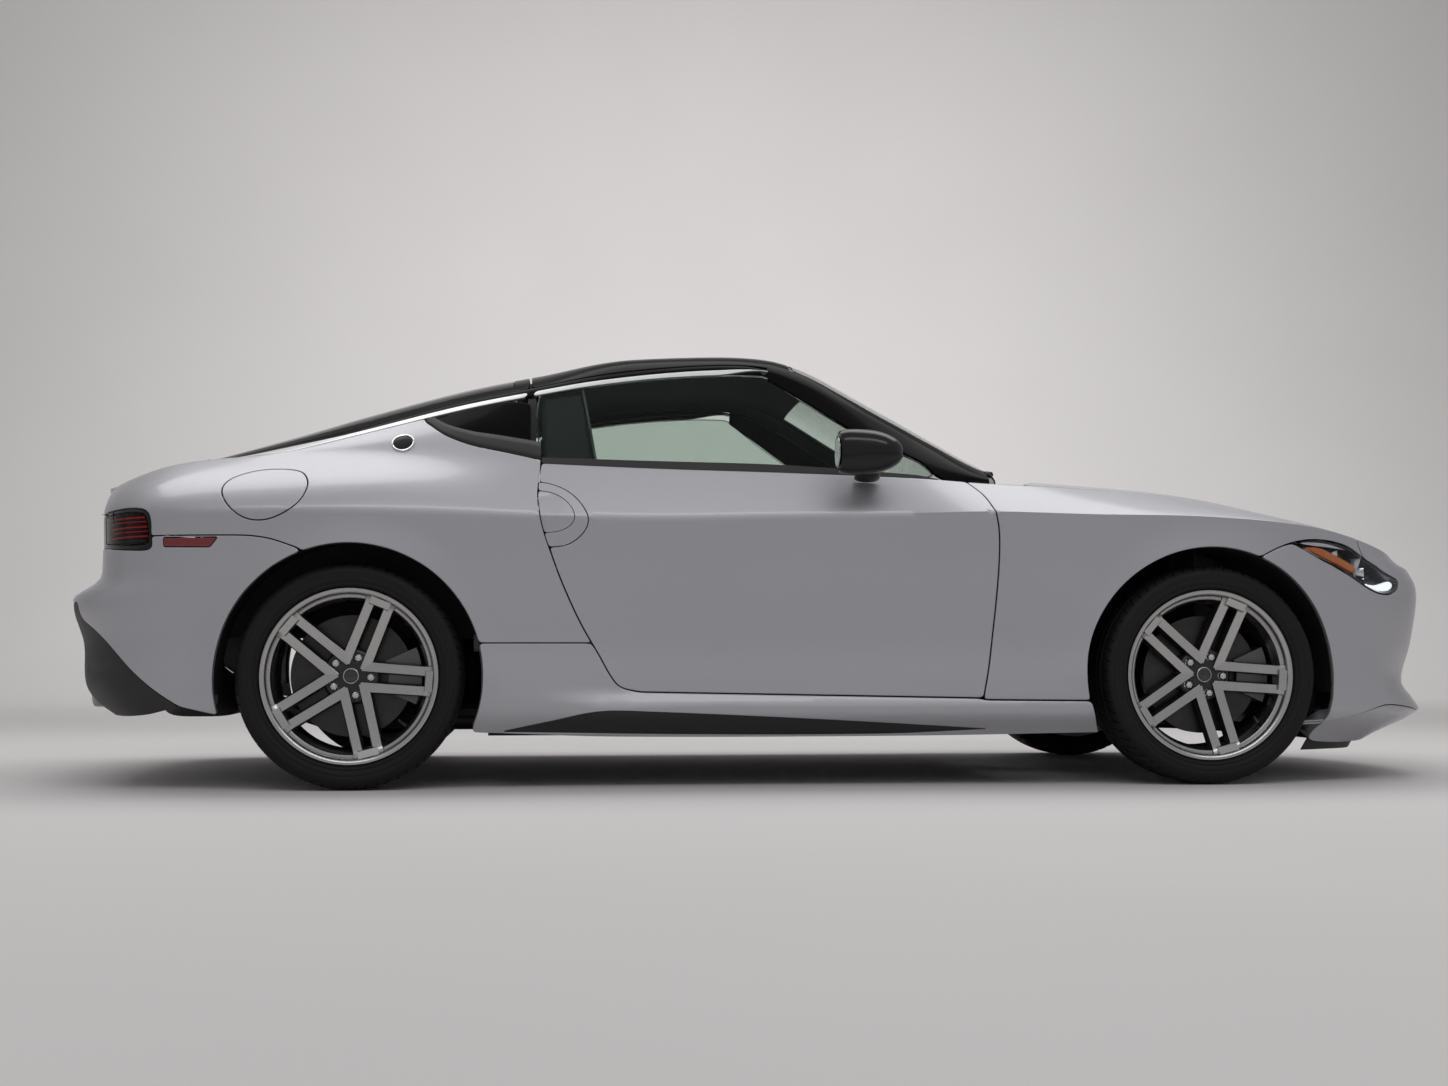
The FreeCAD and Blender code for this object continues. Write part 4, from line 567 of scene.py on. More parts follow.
LAMP_TOP = [(1.540, 0.735), (1.612, 0.752), (1.710, 0.757), (1.780, 0.745), (1.840, 0.697), (1.890, 0.652),
            (1.985, 0.618)]
LAMP_END = [(1.985, 0.618), (1.978, 0.600), (1.955, 0.585), (1.915, 0.572)]
LAMP_FOOT = [(1.915, 0.572), (1.855, 0.575), (1.790, 0.596), (1.733, 0.629), (1.660, 0.668), (1.585, 0.713),
             (1.540, 0.735)]
DOOR_FRONT = [(0.582, 0.2605), (0.604, 0.373), (0.6245, 0.552), (0.632, 0.670), (0.6315, 0.750),
              (0.620, 0.807), (0.600, 0.891), (0.560, 0.957)]
FENDER_NOSE = 1.830
fender_arch = to_skin(arch_run("front", 67.6, 191.4))
fender_top = [p for p in LAMP_TOP if p[0] < FENDER_NOSE] + [(FENDER_NOSE, 0.704)]
fender_loop = traced([DOOR_FRONT[::-1], [DOOR_FRONT[0], (0.582, 0.2555)], [(0.582, 0.2555), fender_arch[-1]],
                      fender_arch[::-1], [fender_arch[0], (1.4577, 0.6994), (1.4957, 0.7176), LAMP_TOP[0]],
                      fender_top, [(FENDER_NOSE, 0.704), (FENDER_NOSE, BELT)],
                      [(FENDER_NOSE, BELT), (0.560, BELT)]])
pair("front_fender_%s", skin(flank, fender_loop, gap=0.0020, depth=0.012), (silver,), "body", "body_paint",
     ("front_fenders",), wall=0.0011, flat=38)

# ---------------------------------------------------------------- doors
# Long pressed steel doors with frameless windows. A D-shaped plate behind the rear edge carries the flap
# that pulls the door open; the edges are folded in round an inner panel.
DOOR_REAR = [(-0.7281, 0.957), (-0.7368, 0.8723), (-0.7367, 0.8427), (-0.7248, 0.7696), (-0.7042, 0.7041),
             (-0.6688, 0.6071), (-0.6129, 0.4849), (-0.5542, 0.3829), (-0.5193, 0.3217), (-0.4902, 0.2926),
             (-0.4376, 0.2809)]
PLATE_EDGE = [(-0.7350, 0.8975), (-0.6959, 0.8921), (-0.6493, 0.8730), (-0.6144, 0.8416), (-0.5915, 0.8013),
              (-0.5945, 0.7674), (-0.6200, 0.7330), (-0.6548, 0.7110), (-0.7042, 0.7041)]
FLAP_EDGE = [(-0.7366, 0.8723), (-0.7018, 0.8692), (-0.6668, 0.8543), (-0.6407, 0.8287), (-0.6290, 0.8000),
             (-0.6406, 0.7721), (-0.6725, 0.7530), (-0.7180, 0.7460)]


def door_rear(level):
    """Place of the door's rear edge at each level."""
    return smooth(np.array([(lv, x) for x, lv in DOOR_REAR]), np.asarray(level), 1)


def rear_edge(high, low, count):
    """Run of points down the door's rear edge between two levels."""
    level = np.linspace(high, low, count)
    return np.stack([door_rear(level), level], -1)


door_loop = traced([rear_edge(BELT, PLATE_EDGE[0][1], 8), PLATE_EDGE,
                    rear_edge(PLATE_EDGE[-1][1], 0.2809, 40), [(-0.4376, 0.2809), DOOR_FRONT[0]], DOOR_FRONT,
                    [DOOR_FRONT[-1], (-0.7281, BELT)]])
plate_loop = traced([rear_edge(PLATE_EDGE[0][1], FLAP_EDGE[0][1], 4), FLAP_EDGE,
                     rear_edge(0.7460, 0.7041, 6), PLATE_EDGE[::-1]], soften=2)
flap_loop = traced([rear_edge(0.8723, 0.7460, 12), FLAP_EDGE[::-1]], soften=2)


def scooped(flat):
    """Body side with the handle plate dished a little towards the shut line, so that fingers get in."""
    points = flank(flat)
    across = ease(flat[..., 0], -0.645, -0.735) * (1 - ease(np.abs(flat[..., 1] - 0.805), 0.045, 0.09))
    points[..., 1] -= 0.009 * across
    return points


door_inner = finish("door_trim_vinyl", (0.018, 0.018, 0.019), 0.55, grain=0.45, grain_scale=650.0,
                    mottle=0.15)
pair("door_skin_%s", skin(flank, door_loop, gap=0.0020, depth=0.020), (silver,), "door_%s", "body_paint",
     ("door_%s",), wall=0.0011, flat=38)
pair("door_handle_plate_%s", skin(flank, plate_loop, gap=0.0008, radius=0.0008, depth=0.014, spacing=0.008),
     (silver,), "door_%s", "body_paint", wall=0.0015, flat=38)
pair("door_handle_flap_%s", skin(scooped, flap_loop, gap=0.0010, radius=0.0010, depth=0.014, spacing=0.006),
     (silver,), "door_%s", "body_paint", wall=0.0015, flat=38)

# ---------------------------------------------------------------- greenhouse: its shape
# Where the roof, the windows and the pillars meet is one surface too: the sides lean in from the belt to
# the roof's edge, and the roof is crowned between its edges.
CANOPY = np.array([
    (-2190, 880, 500, 872), (-2040, 905, 530, 897), (-1950, 930, 545, 921), (-1860, 957, 560, 941),
    (-1794, 978, 575, 952), (-1650, 1026, 596, 978), (-1452, 1088, 606, 1024), (-1274, 1147, 608, 1068),
    (-974, 1232, 606, 1150), (-753, 1280, 602, 1197), (-548, 1314, 596, 1236), (-227, 1333, 586, 1272),
    (-36, 1328, 590, 1268), (92, 1300, 602, 1222), (220, 1246, 622, 1156), (348, 1180, 644, 1086),
    (477, 1103, 668, 1014), (607, 1022, 692, 946), (720, 958, 700, 912), (800, 925, 700, 890)]) * 0.001
EDGE = 1.200                          # level of the roof's edge; the belt is 0.957


def roof_edge(x):
    """Half width and height of the roof's edge."""
    return smooth(CANOPY, x, 2), smooth(CANOPY, x, 3)


def belt_edge(x):
    """Half width and height of the belt under the windows."""
    edge_y, edge_z = roof_edge(x)
    return np.maximum(smooth(SIDES, x, 3), edge_y + 0.006), np.minimum(levels(x)[1], edge_z - 0.008)


def window_side(flat):
    """Leaning side between belt and roof edge at (place along, share of the height), bowed outwards."""
    x, w = flat[..., 0], flat[..., 1]
    (y0, z0), (y1, z1) = belt_edge(x), roof_edge(x)
    swell = w * (1 - w)
    return np.stack([x, y0 + w * (y1 - y0) + 0.036 * swell, z0 + w * (z1 - z0) + 0.008 * swell], -1)


def to_side(points):
    """Side-view (x, z) places as (place along, share of the height) on the leaning side."""
    points = np.asarray(points, float)
    x, z = points[..., 0], points[..., 1]
    z0, z1 = belt_edge(x)[1], roof_edge(x)[1]
    return np.stack([x, (z - z0) / (z1 - z0)], -1)


def roof_top(flat):
    """Roof, screens and rear glass at (x, y): crowned from edge to edge, and over the seats almost flat
    across with its crown close to the edges."""
    x, y = flat[..., 0], flat[..., 1]
    edge_y, edge_z = roof_edge(x)
    b = np.clip(np.abs(y) / edge_y, 0, 1.2)
    crown = 1 - 0.42 * b ** 2 - 0.58 * b ** 6
    over_seats = ease(x, -0.74, -0.44) * (1 - ease(x, -0.02, 0.34))
    crown = crown + (1 - 0.06 * b ** 2 - 0.94 * b ** 9 - crown) * over_seats
    return np.stack([x, y, edge_z + (smooth(CANOPY, x, 1) - edge_z) * crown], -1)


def through(knots, s):
    """Smooth curve through knots at s = 0, 1, 2 and on, each knot an array of points."""
    knots = np.stack(knots, 0)
    slope = np.concatenate([knots[1:2] - knots[:1], (knots[2:] - knots[:-2]) / 2, knots[-1:] - knots[-2:-1]])
    k = np.clip(np.floor(s).astype(int), 0, len(knots) - 2)
    t = (s - k)[..., None]
    pick = np.arange(k.size).reshape(k.shape)
    flat_knots, flat_slope = knots.reshape(len(knots), -1, 3), slope.reshape(len(knots), -1, 3)
    a, b = flat_knots[k, pick], flat_knots[k + 1, pick]
    da, db = flat_slope[k, pick], flat_slope[k + 1, pick]
    return ((1 + 2 * t) * (1 - t) ** 2 * a + t * (1 - t) ** 2 * da
            + t * t * (3 - 2 * t) * b - t * t * (1 - t) * db)


def haunch(flat):
    """Rear quarter at (run, level): the body side flows on above the belt into the leaning pillar."""
    run, level = flat[..., 0], flat[..., 1]
    lower = flank(np.stack([run, np.minimum(level, BELT)], -1))
    at = [flank(np.stack([run, np.full_like(run, lv)], -1))
          for lv in (CREASE - 0.0785, CREASE, 0.8785, BELT)]
    x = at[-1][..., 0]
    rear = np.sin(np.clip((REAR_START - run) / REAR_RUN, 0, np.pi / 2))
    narrowed = np.sqrt(np.clip(1 - rear ** 6, 0, 1))
    belt = at[-1]
    edge = np.stack([x, roof_edge(x)[0] * narrowed, roof_edge(x)[1]], -1)
    half = (belt + edge) / 2 + ease(x, -1.95, -1.5)[..., None] * [0, 0.009, 0.002]
    s = np.where(level < BELT, 1 + (level - CREASE) / 0.0785, 3 + (level - BELT) / (EDGE - BELT) * 2)
    flowing = through(at + [half, edge], np.clip(s, 0, 5))
    share = (ease(x, -0.74, -0.95) * ease(level, CREASE, CREASE + 0.03))[..., None]
    plain = window_side(np.stack([x, np.clip((level - BELT) / (EDGE - BELT), 0, 1)], -1))
    upper = plain + (flowing - plain) * ease(x, -0.74, -0.95)[..., None]
    edge_y, edge_z = roof_edge(x)
    past = np.maximum(level - EDGE, 0)
    turned_in = roof_top(np.stack([x, edge_y - past], -1))
    turned_in[..., 1] *= narrowed
    points = np.where((level > BELT)[..., None], upper, lower + (flowing - lower) * share)
    return np.where((level > EDGE)[..., None], turned_in, points)

# ---------------------------------------------------------------- rear quarters and side rails
# Welded steel rear wings that flow up into the rear pillars, painted with the body. A bright rail lies
# over each side window from the windscreen to the deck under a black gutter, cut where the roof ends.
RAIL_FOOT = [(-1.640, 0.962), (-1.566, 0.970), (-1.449, 1.000), (-1.330, 1.033), (-1.152, 1.081),
             (-0.973, 1.127), (-0.852, 1.155), (-0.747, 1.176), (-0.610, 1.203), (-0.427, 1.230),
             (-0.243, 1.246), (-0.088, 1.250), (-0.030, 1.247)]
TAIL_BELT = -2.098
LAMP_FRONT = [(-1.9115, 0.7295), (-1.9104, 0.7692), (-1.9225, 0.7978), (-1.9725, 0.8133), (-2.1000, 0.8150),
              (-2.2500, 0.8090)]
REAR_SEAM = [(-1.4130, 0.6902), (-1.4436, 0.7011), (-1.5061, 0.7193), (-1.5683, 0.7277), (-1.6608, 0.7296),
             (-1.8620, 0.7301), (-1.9115, 0.7295)]
QUARTER_GLASS_FOOT = [(-0.728, 0.965), (-0.850, 0.994), (-0.939, 1.014), (-1.013, 1.043), (-1.073, 1.087)]


def run_over(x):
    """Run round the haunch to a place along the car."""
    rear = np.clip((x - REAR_START) / (TAIL_BELT - REAR_START), 0, 1)
    return np.where(x < REAR_START, REAR_START - REAR_RUN * np.arcsin(rear), x)


def to_haunch(points):
    """Side-view (x, z) places above the belt as (run, level) places on the haunch."""
    x, w = to_side(points).T
    return np.stack([run_over(x), BELT + (EDGE - BELT) * w], -1)


def level_run(points, step=0.01):
    """Run through points at even steps, curved through them all."""
    points = np.asarray(points, float)
    far = np.concatenate([[0], np.cumsum(np.hypot(*np.diff(points, axis=0).T))])
    at = np.linspace(0, far[-1], int(far[-1] / step) + 2)
    table = np.column_stack([far, points])
    return np.stack([smooth(table, at, 1), smooth(table, at, 2)], -1)


def edge_run(x0, x1, level, count):
    """Run of points at one level above the belt between two places along the car."""
    return spread(run_over(np.linspace(x0, x1, count)), level)


RAIL_REAR, RAIL_CUT, RAIL_FRONT = -1.664, -0.760, -0.020


def rail_drop(x):
    """How far the rail's foot lies below the roof's edge, and the leaning side's height: the rail narrows
    to a point where it runs out over the haunch, and again beside the windscreen."""
    z = smooth(np.array(RAIL_FOOT), x, 1)
    (y0, z0), (y1, z1) = belt_edge(x), roof_edge(x)
    tall = np.hypot(y1 - y0, z1 - z0)
    taper = ease(x, RAIL_REAR, RAIL_REAR + 0.22) * ease(x, RAIL_FRONT, RAIL_FRONT - 0.18)
    return np.maximum((z1 - z) / (z1 - z0) * tall * (0.12 + 0.88 * taper), 0.004), tall


rear_arch = to_skin(arch_run("rear", 14.5, 110.7))
GLASS_REAR = -1.077
top_drop, top_tall = rail_drop(np.linspace(RAIL_REAR, GLASS_REAR, 50))
quarter_top = edge_run(RAIL_REAR, GLASS_REAR, 0.0, 50)
quarter_top[:, 1] = EDGE - (EDGE - BELT) * top_drop / top_tall
glass_foot = to_haunch(QUARTER_GLASS_FOOT)
INSET = 0.010                         # the hatch's seam lies this far inside the roof's edge
HATCH_FOOT = -1.790
LIP_RUN = -2.250                      # where the deck's side seam drops over the tail
rail_end = edge_run(-1.655, -1.668, EDGE + INSET, 2)
hatch_side = edge_run(-1.668, HATCH_FOOT, EDGE + INSET, 12)
deck_side = [tuple(hatch_side[-1]), (-1.960, 1.185), (-2.080, 1.125), (-2.180, 1.050), (LIP_RUN, BELT)]
quarter_loop = traced([rear_edge(BELT, 0.4237, 50), [(-0.5776, 0.4237), rear_arch[0]], rear_arch,
                       [rear_arch[-1]] + REAR_SEAM, LAMP_FRONT, [LAMP_FRONT[-1], (LIP_RUN, BELT)],
                       deck_side[::-1], hatch_side[::-1], [rail_end[1], quarter_top[0]], quarter_top,
                       [quarter_top[-1], glass_foot[-1]], glass_foot[::-1],
                       [glass_foot[0], (-0.7281, BELT)]])
FUEL_DOOR = [(-1.6662, 0.8605), (-1.6581, 0.8393), (-1.6374, 0.8127), (-1.6101, 0.7899), (-1.5813, 0.7758),
             (-1.5500, 0.7701), (-1.5128, 0.7727), (-1.4729, 0.7862), (-1.4396, 0.8052), (-1.4152, 0.8274),
             (-1.4016, 0.8531), (-1.3995, 0.8795), (-1.4200, 0.9043), (-1.4733, 0.9150), (-1.5534, 0.9143),
             (-1.6209, 0.9000), (-1.6553, 0.8819), (-1.6662, 0.8605)]
fuel_loop = traced([FUEL_DOOR])


def railing(flat):
    """Side rail at (place along, distance below or past the roof's edge): it stands a little proud."""
    x, v = flat[..., 0], flat[..., 1]
    (y0, z0), (y1, z1) = belt_edge(x), roof_edge(x)
    tall = np.hypot(y1 - y0, z1 - z0)
    below = window_side(np.stack([x, 1 + np.minimum(v, 0) / tall], -1))
    over = roof_top(np.stack([x, y1 - np.maximum(v, 0)], -1))
    points = np.where((v > 0)[..., None], over, below)
    points[..., 1] += 0.0006 * ease(v, -0.05, -0.001) * ease(-v, -0.012, 0.001)
    return points


def gutter_drop(drop):
    """How far the black gutter comes down over the rail: 11 mm, but never a third of the rail."""
    return np.minimum(0.011, 0.30 * drop)


def rail_loop(x0, x1):
    """Outline of a stretch of rail, from its foot line to the foot of the gutter."""
    x = np.linspace(x0, x1, 90)
    drop = rail_drop(x)[0]
    return traced([np.stack([x, -drop], -1), np.stack([x, -gutter_drop(drop)], -1)[::-1]])


rail_parts = (("rear", RAIL_REAR, RAIL_CUT - 0.0025), ("front", RAIL_CUT + 0.0025, RAIL_FRONT))
rail_silver = finish("rail_silver", (0.72, 0.72, 0.73), 0.40, 0.60, mottle=0.04, grain=0.1,
                     grain_scale=1500.0, Coat_Weight=0.6, Coat_Roughness=0.06)
black_gloss = finish("black_gloss", (0.004, 0.004, 0.0045), 0.25, mottle=0.1, rough_drift=0.3,
                     Coat_Weight=0.35, Coat_Roughness=0.03, IOR=1.3)
roof_black = finish("roof_black", (0.004, 0.004, 0.0045), 0.20, mottle=0.1, rough_drift=0.3,
                    Coat_Weight=0.04, Coat_Roughness=0.03, IOR=1.09)
badge_ring = finish("badge_ring", (0.72, 0.72, 0.73), 0.2, 1.0, mottle=0.04)
seal_rubber = finish("seal_rubber", (0.012, 0.012, 0.012), 0.6, grain=0.25, grain_scale=900.0)


def sheet(grid, flipped=False):
    """Open grid of points as the patches of one mesh, its faces turned over if asked."""
    faces = quilt(grid)
    return [(grid, faces[:, ::-1] if flipped else faces, 0)]


for side, sign in BOTH:
    holes = (fuel_loop,) if side == "right" else ()
    weld("rear_quarter_" + side, other_side(skin(haunch, quarter_loop, holes, gap=0.0018, depth=0.014),
                                            sign),
         (silver,), "body", "body_paint", ("body_side_" + side,), wall=0.0011, flat=38)
for part, x0, x1 in rail_parts:
    pair("side_rail_" + part + "_%s", skin(railing, rail_loop(x0, x1), gap=0.0010, depth=0.008,
                                           spacing=0.012, radius=0.0012),
         (rail_silver,), "body", None, wall=0.0010, flat=38)
rail_x = np.linspace(RAIL_REAR, RAIL_FRONT, 150)
gutter_foot = 0.002 - rail_drop(rail_x)[0]
gutter_head = INSET * (0.3 + 0.7 * ease(rail_x, RAIL_REAR, RAIL_REAR + 0.1)
                       * ease(rail_x, RAIL_FRONT, RAIL_FRONT - 0.1))
gutter = railing(spread(rail_x[:, None], np.linspace(gutter_foot, gutter_head, 9, axis=1))) - [0, 0.0022, 0]
pair("roof_gutter_%s", sheet(gutter, True), (roof_black,), "body", "black_paint", wall=0.004, edge=0.0008,
     flat=50)
weld("fuel_filler_flap", other_side(skin(haunch, fuel_loop, gap=0.0018, depth=0.009, spacing=0.014), -1),
     (silver,), "fuel_door", "body_paint", ("fuel_door",), wall=0.0012, flat=38)
# round badge on the rear pillar: a plain black disc in a bright ring, from (radius, height) corners
BADGE = np.array([(0.0005, 0.0016), (0.0260, 0.0020), (0.0290, 0.0012), (0.0292, 0.0030), (0.0315, 0.0038),
                  (0.0340, 0.0030), (0.0345, -0.004), (0.0005, -0.004)])
middle, du, dv = slopes(haunch, to_haunch([(-1.137, 1.0165)]))
up = np.cross(du, dv)[0]
up *= np.sign(up[1]) / np.linalg.norm(up)
ahead = du[0] / np.linalg.norm(du[0])
tall = np.cross(up, ahead)
turn = turns(64)[:, None, None]
disc = middle[0] + BADGE[:, :1] * (np.cos(turn) * ahead + np.sin(turn) * tall) + BADGE[:, 1:] * up
quads = quilt(disc, around=True)
bright = np.isin(quads[:, 0] % len(BADGE), (2, 3, 4, 5))
pair("pillar_badge_%s", [(disc, quads[bright], 1), (disc, quads[~bright], 0)], (black_gloss, badge_ring),
     "body", None, shut=True, flat=35)

# ---------------------------------------------------------------- roof, pillars and hatch
# Gloss black roof skin and rear hatch with a bonded glass and a rubber seal ahead of it, black pillars
# beside the windscreen, and the painted tail deck with its raised lip.


def strip(x, start, end, steps, surface):
    """Grid between two lines over the same places along the car, laid on a surface."""
    return surface(spread(x[:, None], start[:, None] + (end - start)[:, None] * np.linspace(0, 1, steps)))


def plan_loop(x0, x1, inset):
    """Outline in plan between two places along the car, an inset in from the roof's edge on both sides."""
    x = np.linspace(x0, x1, 60)
    half = roof_edge(x)[0] - inset
    y = np.linspace(-1, 1, 41)
    return traced([np.stack([x, -half], -1), spread(x1, y * half[-1]), np.stack([x, half], -1)[::-1],
                   spread(x0, y * half[0])[::-1]], step=0.012)


weld("roof_skin", skin(roof_top, plan_loop(-0.7575, 0.045, 0.0125), gap=0.0012, spacing=0.022, depth=0.010),
     (roof_black,), "body", "black_paint", ("roof_panel",), wall=0.0010, flat=38)

SCREEN_FRONT = [(0.790, 0.0), (0.775, 0.2), (0.735, 0.4), (0.675, 0.56), (0.640, 0.625)]
screen_x = np.linspace(0.052, 0.640, 40)
screen_half = roof_edge(screen_x)[0] - 0.042
screen_foot = np.array(SCREEN_FRONT[:-1] + [(0.640, screen_half[-1])])
screen_loop = traced([np.stack([screen_x, -screen_half], -1), screen_foot[::-1] * [1, -1], screen_foot,
                      np.stack([screen_x, screen_half], -1)[::-1],
                      [(0.052, screen_half[0]), (0.052, -screen_half[0])]], step=0.012, soften=6)


def glazing(name, tint):
    """Tinted sheet glass: clear through, its tint and polish drifting very slightly."""
    return finish(name, tint, 0.02, mottle=0.03, mottle_scale=1.5, rough_drift=0.5, Transmission_Weight=1.0,
                  IOR=1.2)


screen_glass = glazing("screen_glass", (0.80, 0.86, 0.82))
side_glass = glazing("side_glass", (0.66, 0.74, 0.69))
weld("windscreen", skin(roof_top, screen_loop, gap=0.0012, spacing=0.025, depth=0.0045), (screen_glass,),
     "body", "tinted_glass", ("windshield",), wall=0.0045, flat=30)

# black pillars beside the screen, from the windows' front edge over the roof's edge to the screen
PILLAR_EDGE = np.array([(-0.036, 1.241), (0.063, 1.177), (0.186, 1.096), (0.311, 1.026), (0.420, 0.977),
                        (0.466, 0.935), (0.500, 0.920), (0.640, 0.908)])
pillar_x = np.linspace(-0.030, 0.636, 70)
side_share = np.clip(to_side(np.stack([pillar_x, smooth(PILLAR_EDGE, pillar_x, 1)], -1))[:, 1], 0.0, 1.0)
pillar_y = roof_edge(pillar_x)[0]
pillar = np.concatenate([strip(pillar_x, side_share, 0 * pillar_x + 0.985, 8, window_side),
                         strip(pillar_x, pillar_y - 0.004, pillar_y - 0.0405, 7, roof_top)], 1)
pair("screen_pillar_%s", sheet(pillar, True), (roof_black,), "body", "black_paint", wall=0.012, edge=0.0015,
     flat=60)
lining_x = np.linspace(0.030, 0.600, 50)
lining_y = roof_edge(lining_x)[0] - 0.034
lining = strip(lining_x, lining_y, lining_y - 0.115 * ease(lining_x, 0.62, 0.50), 7,
               lambda flat: roof_top(flat) - [0.004, 0, 0.016])
pair("pillar_lining_%s", sheet(lining, True), (seal_rubber,), "body", "black_plastic", wall=0.010, flat=60)

# hatch: bonded black glass over a black frame, then the painted deck behind it
HATCH_HEAD = -0.7625
hatch_x = np.linspace(HATCH_FOOT, HATCH_HEAD, 90)
hatch_half = roof_edge(hatch_x)[0] - INSET
across_top = np.linspace(-1, 1, 61)
hatch_loop = traced([np.stack([hatch_x, -hatch_half], -1), spread(HATCH_HEAD, across_top * hatch_half[-1]),
                     np.stack([hatch_x, hatch_half], -1)[::-1],
                     spread(HATCH_FOOT + 0.012 * (1 - across_top ** 2), across_top * hatch_half[0])[::-1]],
                    step=0.014)
glass_hole = shrunk(roof_top, hatch_loop, 0.050)
for _ in range(12):
    glass_hole = (np.roll(glass_hole, 1, 0) + 2 * glass_hole + np.roll(glass_hole, -1, 0)) / 4
privacy_glass = glazing("privacy_glass", (0.06, 0.065, 0.065))
weld("hatch_surround", skin(roof_top, hatch_loop, (glass_hole,), gap=0.0014, spacing=0.022, depth=0.014),
     (roof_black,), "hatch", "black_paint", ("hatch_frame",), wall=0.0012, flat=38)
seal_x = np.linspace(-0.7740, -0.7555, 4)
seal_half = roof_edge(seal_x)[0] - 0.022
hatch_seal = strip(seal_x, -seal_half, seal_half, 41, lambda flat: roof_top(flat) - [0, 0, 0.018])
weld("hatch_seal", sheet(hatch_seal), (seal_rubber,), "hatch", "black_plastic", wall=0.002, flat=50)
weld("hatch_pane", skin(roof_top, glass_hole, gap=0.0006, spacing=0.028, depth=0.005, radius=0.0008),
     (privacy_glass,), "hatch", "dark_glass", ("hatch_glass",), wall=0.004, flat=30)
DECK_ROWS = 30


def tail_run(y, half):
    """Run at which the tail lies a distance y from the middle, where its half width is given."""
    return REAR_START - REAR_RUN * np.arcsin(np.clip(1 - (y / half) ** 2, 0, 1) ** (1 / 6.0))


seam = haunch(level_run(deck_side, 0.004))
seam = seam[np.linspace(0, len(seam) - 1, DECK_ROWS).astype(int)]
b = np.linspace(-1, 1, 91)[:, None]
s = np.linspace(0, 1, DECK_ROWS)
middle_x = HATCH_FOOT + 0.012 + (TAIL_BELT - HATCH_FOOT - 0.012) * s
middle_z = smooth(CANOPY, middle_x, 1) + (seam[-1, 2] + 0.004 - smooth(CANOPY, TAIL_BELT, 1)) * s ** 2
side_y, side_x, side_z = seam[:, 1], seam[:, 0], seam[:, 2]
crown = 1 - 0.42 * b ** 2 - 0.58 * b ** 6
run_b = tail_run(np.abs(b) * side_y[-1], smooth(SIDES, TAIL_BELT, 3))
lip = flank(spread(run_b, BELT))
deck_x = middle_x + (side_x - middle_x) * b ** 2
deck_x = deck_x + (lip[..., 0] - deck_x[:, -1:]) * s ** 3
top = spread(deck_x, b * side_y, side_z + (middle_z - side_z) * crown)
top[..., 2] += 0.008 * ease(s, 0.55, 1.0) * (1 - b ** 8)
fall = np.linspace(0, 1, 14)[None, 1:]
face = flank(spread(run_b, BELT + (0.8090 - BELT) * fall))
face[..., 1] = (top[:, -1:, 1] * face[..., 1] / np.maximum(np.abs(face[:, :1, 1]), 1e-6)
                * np.sign(face[:, :1, 1] + 1e-9))
face[..., 2] += 0.008 * (1 - b ** 8) * (1 - fall) ** 2
face[..., 0] += 0.010 * np.sin(np.pi * fall) * (1 - b ** 8)
deck = np.concatenate([top, face, face[:, -1:] + [0.04, 0, 0.004]], 1)
weld("tail_deck", sheet(deck, True), (silver,), "hatch", "body_paint", wall=0.0012, flat=50)

# ---------------------------------------------------------------- side windows and their black edges
# Frameless door glass in soft seals with a grey guide behind it, a fixed black quarter glass in a rubber
# frame, and a black post between the two.
WINDOW_FOOT = [(-0.725, 0.958), (-0.554, 0.950), (-0.256, 0.940), (0.045, 0.934), (0.425, 0.921),
               (0.462, 0.930)]
WINDOW_FRONT = [(0.462, 0.930), (0.420, 0.972), (0.311, 1.022), (0.186, 1.092), (0.063, 1.173),
                (-0.030, 1.240)]
window_head = [p for p in RAIL_FOOT if p[0] > -0.74]
door_window_loop = traced([to_haunch(WINDOW_FOOT), to_haunch(WINDOW_FRONT),
                           to_haunch([(-0.03, 1.2425)] + window_head[::-1]),
                           to_haunch([window_head[0], (-0.733, 1.179), (-0.733, 0.958), (-0.725, 0.958)])],
                          step=0.01)
quarter_window_loop = traced([to_haunch(QUARTER_GLASS_FOOT[::-1]),
                              to_haunch([(-0.757, 0.965), (-0.757, 1.172)]),
                              to_haunch([p for p in RAIL_FOOT if -1.10 < p[0] < -0.75][::-1])], step=0.01)


def sunk(distance):
    """The haunch surface moved inwards, for what lies behind it."""
    return lambda flat: haunch(flat) - [0, distance, 0]


pair("side_window_%s", skin(sunk(0.003), door_window_loop, gap=0.001, spacing=0.03, depth=0.0042,
                            radius=0.0008),
     (side_glass,), "door_%s", "tinted_glass", ("door_glass_%s",), wall=0.0042, flat=30)
pair("quarter_window_%s", skin(sunk(0.001), quarter_window_loop, gap=0.002, spacing=0.03, depth=0.0042,
                               radius=0.0008),
     (roof_black,), "body", "dark_glass", ("quarter_windows",), wall=0.0042, flat=30)

belt_x = np.linspace(-0.7250, 0.4700, 90)
band = strip(belt_x, 0 * belt_x - 0.004, 0.060 * ease(belt_x, 0.475, 0.40) + 0.006, 6,
             lambda flat: window_side(flat) + [0, 0.0012, 0])
pair("belt_seal_%s", sheet(band, True), (seal_rubber,), "door_%s", "black_plastic", wall=0.004, edge=0.0008,
     flat=50)
rubber_low = level_run(to_haunch(QUARTER_GLASS_FOOT[::-1]), 0.012)
RUBBER = ((0.0, 0.0002), (0.3, -0.0012), (0.7, -0.0010), (1.0, 0.0005))      # share of its height, how deep
quarter_rubber = np.stack([sunk(deep)(rubber_low + [0, 0.055 * share]) for share, deep in RUBBER], 1)
pair("quarter_seal_%s", sheet(quarter_rubber, True), (seal_rubber,), "body", "black_plastic", wall=0.002,
     flat=60)
